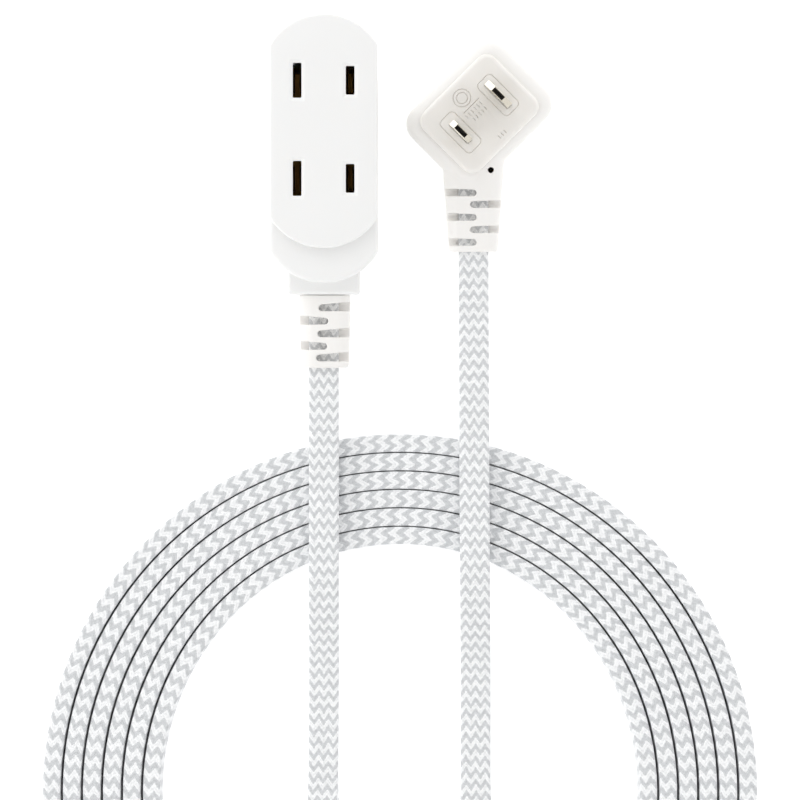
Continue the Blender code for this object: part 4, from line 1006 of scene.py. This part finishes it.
def softened(bm, voxel, passes):
    """Rounds every edge and inside corner as a soft moulding has them."""
    return worked(bm, ("REMESH", {"mode": "VOXEL", "voxel_size": voxel}),
                  ("SMOOTH", {"factor": 0.5, "iterations": passes}))


vinyl = plastic("flexible_white_vinyl", "#f9f7f4", 0.46, 0.06, grain=(2600.0, 0.2), rub=(70.0, 0.38, 0.54))

sleeve = moved(tapered_bar(SLEEVE_WIDTH, SLEEVE_THICKNESS, SLEEVE_CORNER, SLEEVE_EDGE,
                           NECK_END_Y - SLEEVE_SEAM, SLEEVE_END_Y, SLEEVE_END_SCALE),
               (SLEEVE_ASIDE, 0, 0))
for (width, thickness), past_low, past_high in ((SLEEVE_WAIST, -2 * MM, 3 * MM),
                                                (SLEEVE_FLANGE, NECK_END_WALL + FIT, SLEEVE_FLANGE_END)):
    sleeve = joined(sleeve, block((-width / 2, NECK_END_Y + past_low, -thickness / 2),
                                  (width / 2, NECK_END_Y + past_high, thickness / 2)))
sleeve = cut(sleeve, cord_bore(NECK_ROOT_Y, SLEEVE_END_Y - MM),
             finger_slots(SLEEVE_SLOT_YS, SLEEVE_SLOT_HEIGHTS, SLEEVE_SLOT_PAST, 1, SLEEVE_SLOT_TILT,
                          SLEEVE_SLOT_DRIFT))
sleeve = softened(moved(sleeve, (0, 0, HEAD_CORD_Z)), 0.2 * MM, 3)
relief_sleeve = place_piece("strain_relief_sleeve", sleeve, vinyl, 180)
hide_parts("strain_relief")
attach(relief_sleeve, CORD_SET)


# ---- Plug body -----------------------------------------------------------------------------------------
# One soft moulding in the same vinyl: a rounded block that lies at 45 degrees to the cord, and a slotted
# neck along the cord. A pin hole in its corner is left by the mould.

PLUG_PLACE = Matrix.Translation((37.36 * MM, 18.7 * MM, 0)) @ Matrix.Rotation(math.radians(45), 4, "Z")
PLUG_SIZE = (31.1 * MM, 24.4 * MM)
PLUG_CORNER = 5.0 * MM
PLUG_THICKNESS = 10.6 * MM
PLUG_EDGE = 3.0 * MM
INSERT_SIZE = (24.5 * MM, 19.5 * MM)
INSERT_CORNER = 3.0 * MM
INSERT_LOW_Z, INSERT_FACE_Z = 7.0 * MM, 12.4 * MM
PLUG_FLOOR_Z = 2.5 * MM
PLUG_CORD_X, PLUG_CORD_Z = 35.95 * MM, 5.5 * MM
PLUG_NECK_ROOT_Y, PLUG_NECK_END_Y = 11.0 * MM, -14.5 * MM
PLUG_NECK_SIZE = (15.4 * MM, 10.2 * MM)
PLUG_NECK_END_SCALE = 0.76
PLUG_SLOT_YS = tuple(y * MM for y in (-0.3, -3.1, -6.2, -9.15, -12.2))
PLUG_SLOT_HEIGHTS, PLUG_SLOT_PAST = (1.55 * MM, 1.8 * MM), 0.8 * MM
PLUG_SLOT_TILT = 1.2
PIN_HOLE = (40.14 * MM, 5.2 * MM)
PIN_HOLE_RADIUS, PIN_HOLE_FLOOR_Z = 0.75 * MM, 3.0 * MM

body = rounded_slab(*PLUG_SIZE, PLUG_CORNER, 0.0, PLUG_THICKNESS, PLUG_EDGE, 12, 8)
body.transform(PLUG_PLACE)
neck_place = (PLUG_CORD_X, 0, PLUG_CORD_Z)
neck = tapered_bar(*PLUG_NECK_SIZE, SLEEVE_CORNER, SLEEVE_EDGE, PLUG_NECK_ROOT_Y, PLUG_NECK_END_Y,
                   PLUG_NECK_END_SCALE)
body = joined(body, moved(neck, neck_place))
pocket = rounded_slab(INSERT_SIZE[0] - 2 * FIT, INSERT_SIZE[1] - 2 * FIT, INSERT_CORNER - FIT,
                      PLUG_FLOOR_Z, PLUG_THICKNESS + 3 * MM)
pocket.transform(PLUG_PLACE)
body = cut(body, pocket, moved(cord_bore(8 * MM, PLUG_NECK_END_Y - MM), neck_place),
           moved(finger_slots(PLUG_SLOT_YS, PLUG_SLOT_HEIGHTS, PLUG_SLOT_PAST, -1, PLUG_SLOT_TILT),
                 neck_place),
           rod(PIN_HOLE, PIN_HOLE_RADIUS, PIN_HOLE_FLOOR_Z, PLUG_THICKNESS + MM))
plug_body = place_piece("plug_moulding", softened(body, 0.25 * MM, 4), vinyl, 180)
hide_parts("plug_body")
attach(plug_body, CORD_SET)


# ---- Plug insert ---------------------------------------------------------------------------------------
# The stiff face that holds the blades: slightly clear grey plastic, with a fine groove round each blade,
# and two plain rings, a line and three rows of short bars cut as the same grooves beside them.

INSERT_EDGE = 1.1 * MM
BLADE_GAP = 0.1 * MM
BLADE_THICKNESS = 1.52 * MM
BLADE_WIDTHS = {"line": 6.35 * MM, "neutral": 7.94 * MM}
BLADE_SIDES = {"line": -1, "neutral": 1}
BORDER_SIZE, BORDER_CORNER = (4.9 * MM, 10.7 * MM), 1.2 * MM
RING_PLACE, RING_DIAMETERS = (-0.3 * MM, 5.6 * MM), (4.5 * MM, 2.9 * MM)
LINE_PLACE, LINE_LENGTH = (0.0, 2.7 * MM), 5.2 * MM
BAR_ROWS = {6: (-0.3 * MM, 1.5 * MM), 5: (0.1 * MM, -0.1 * MM), 3: (0.4 * MM, -7.4 * MM)}
BAR_LENGTH, BAR_SPACING = 1.0 * MM, 0.95 * MM
GROOVE_WIDTH, GROOVE_DEPTH = 0.22 * MM, 0.3 * MM

clear_grey = plastic("clear_grey_plastic", "#f6f3ef", 0.32, 0.12, grain=(2600.0, 0.12),
                     tones=(150.0, "#f2efea", "#f9f6f2"))


def groove(size, corner, place):
    """A cutter of a rounded outline, sunk in the insert's face as deep as its grooves are."""
    return moved(rounded_slab(*size, corner, INSERT_FACE_Z - GROOVE_DEPTH, INSERT_FACE_Z + MM), (*place, 0))


def closed_groove(size, corner, place):
    """A cutter for a groove that follows the inside of a rounded rectangle."""
    inside = rounded_slab(size[0] - 2 * GROOVE_WIDTH, size[1] - 2 * GROOVE_WIDTH, corner - GROOVE_WIDTH,
                          INSERT_LOW_Z, INSERT_FACE_Z + 2 * MM)
    return cut(groove(size, corner, place), moved(inside, (*place, 0)))


marks = [closed_groove(BORDER_SIZE, BORDER_CORNER, (side * BLADE_SPACING / 2, 0))
         for side in BLADE_SIDES.values()]
marks += [closed_groove((d, d), 0.499 * d, RING_PLACE) for d in RING_DIAMETERS]
marks.append(groove((LINE_LENGTH, GROOVE_WIDTH), 0.45 * GROOVE_WIDTH, LINE_PLACE))
for count, (x, y) in BAR_ROWS.items():
    marks += [groove((GROOVE_WIDTH, BAR_LENGTH), 0.45 * GROOVE_WIDTH,
                     (x + (i - (count - 1) / 2) * BAR_SPACING, y)) for i in range(count)]
face = rounded_slab(*INSERT_SIZE, INSERT_CORNER, INSERT_LOW_Z, INSERT_FACE_Z, INSERT_EDGE)
face = cut(face, together(marks))
for wire, side in BLADE_SIDES.items():
    slot = rounded_slab(BLADE_THICKNESS + BLADE_GAP, BLADE_WIDTHS[wire] + BLADE_GAP, 0.15 * MM,
                        INSERT_LOW_Z - MM, INSERT_FACE_Z + MM)
    face = cut(face, moved(slot, (side * BLADE_SPACING / 2, 0, 0)))
face.transform(PLUG_PLACE)
insert = place_piece("plug_face_insert", face, clear_grey)
break_edges(insert, 0.06 * MM)
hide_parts("plug_insert")
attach(insert, CORD_SET)


# ---- Plug blades ---------------------------------------------------------------------------------------
# Stamped brass strip, nickel plated, with a cross hole near the tip, sloping shoulders beside the tip and
# a chamfer along it. The wider blade is the neutral one.

BLADE_ROOT_Z, BLADE_TIP_Z = 3.0 * MM, 28.7 * MM
BLADE_HOLE_Z, BLADE_HOLE_RADIUS = 24.1 * MM, 1.98 * MM
TIP_WIDTH, TIP_CHAMFER = 3.5 * MM, 0.2 * MM

nickel = metal("nickel_plated_brass", "#dcd6c8", 0.2, (0.1, 0.2), (12000, 12000, 250), 0.15)

for wire, side in BLADE_SIDES.items():
    width = BLADE_WIDTHS[wire]
    bm = block((-BLADE_THICKNESS / 2, -width / 2, BLADE_ROOT_Z),
               (BLADE_THICKNESS / 2, width / 2, BLADE_TIP_Z))
    tip = [e for e in bm.edges if all(v.co.z > BLADE_TIP_Z - MM for v in e.verts)]
    shoulders = [e for e in tip if e.calc_length() < TIP_WIDTH]
    bmesh.ops.bevel(bm, geom=shoulders, offset=(width - TIP_WIDTH) / 2, segments=1, profile=0.5,
                    affect="EDGES", material=-1)
    tip = [e for e in bm.edges if abs(e.verts[0].co.x - e.verts[1].co.x) < FIT
           and all(v.co.z > BLADE_TIP_Z - MM for v in e.verts)]
    bmesh.ops.bevel(bm, geom=tip, offset=TIP_CHAMFER, segments=3, profile=0.5, affect="EDGES", material=-1)
    across = rod((0, 0), BLADE_HOLE_RADIUS, -2 * MM, 2 * MM, 48)
    across.transform(Matrix.Translation((0, 0, BLADE_HOLE_Z)) @ Matrix.Rotation(math.radians(90), 4, "Y"))
    bm = moved(cut(bm, across), (side * BLADE_SPACING / 2, 0, 0))
    bm.transform(PLUG_PLACE)
    blade = place_piece(f"{wire}_plug_blade", bm, nickel, 30)
    break_edges(blade, 0.07 * MM)
    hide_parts(f"{wire}_blade")
    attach(blade, CORD_SET)
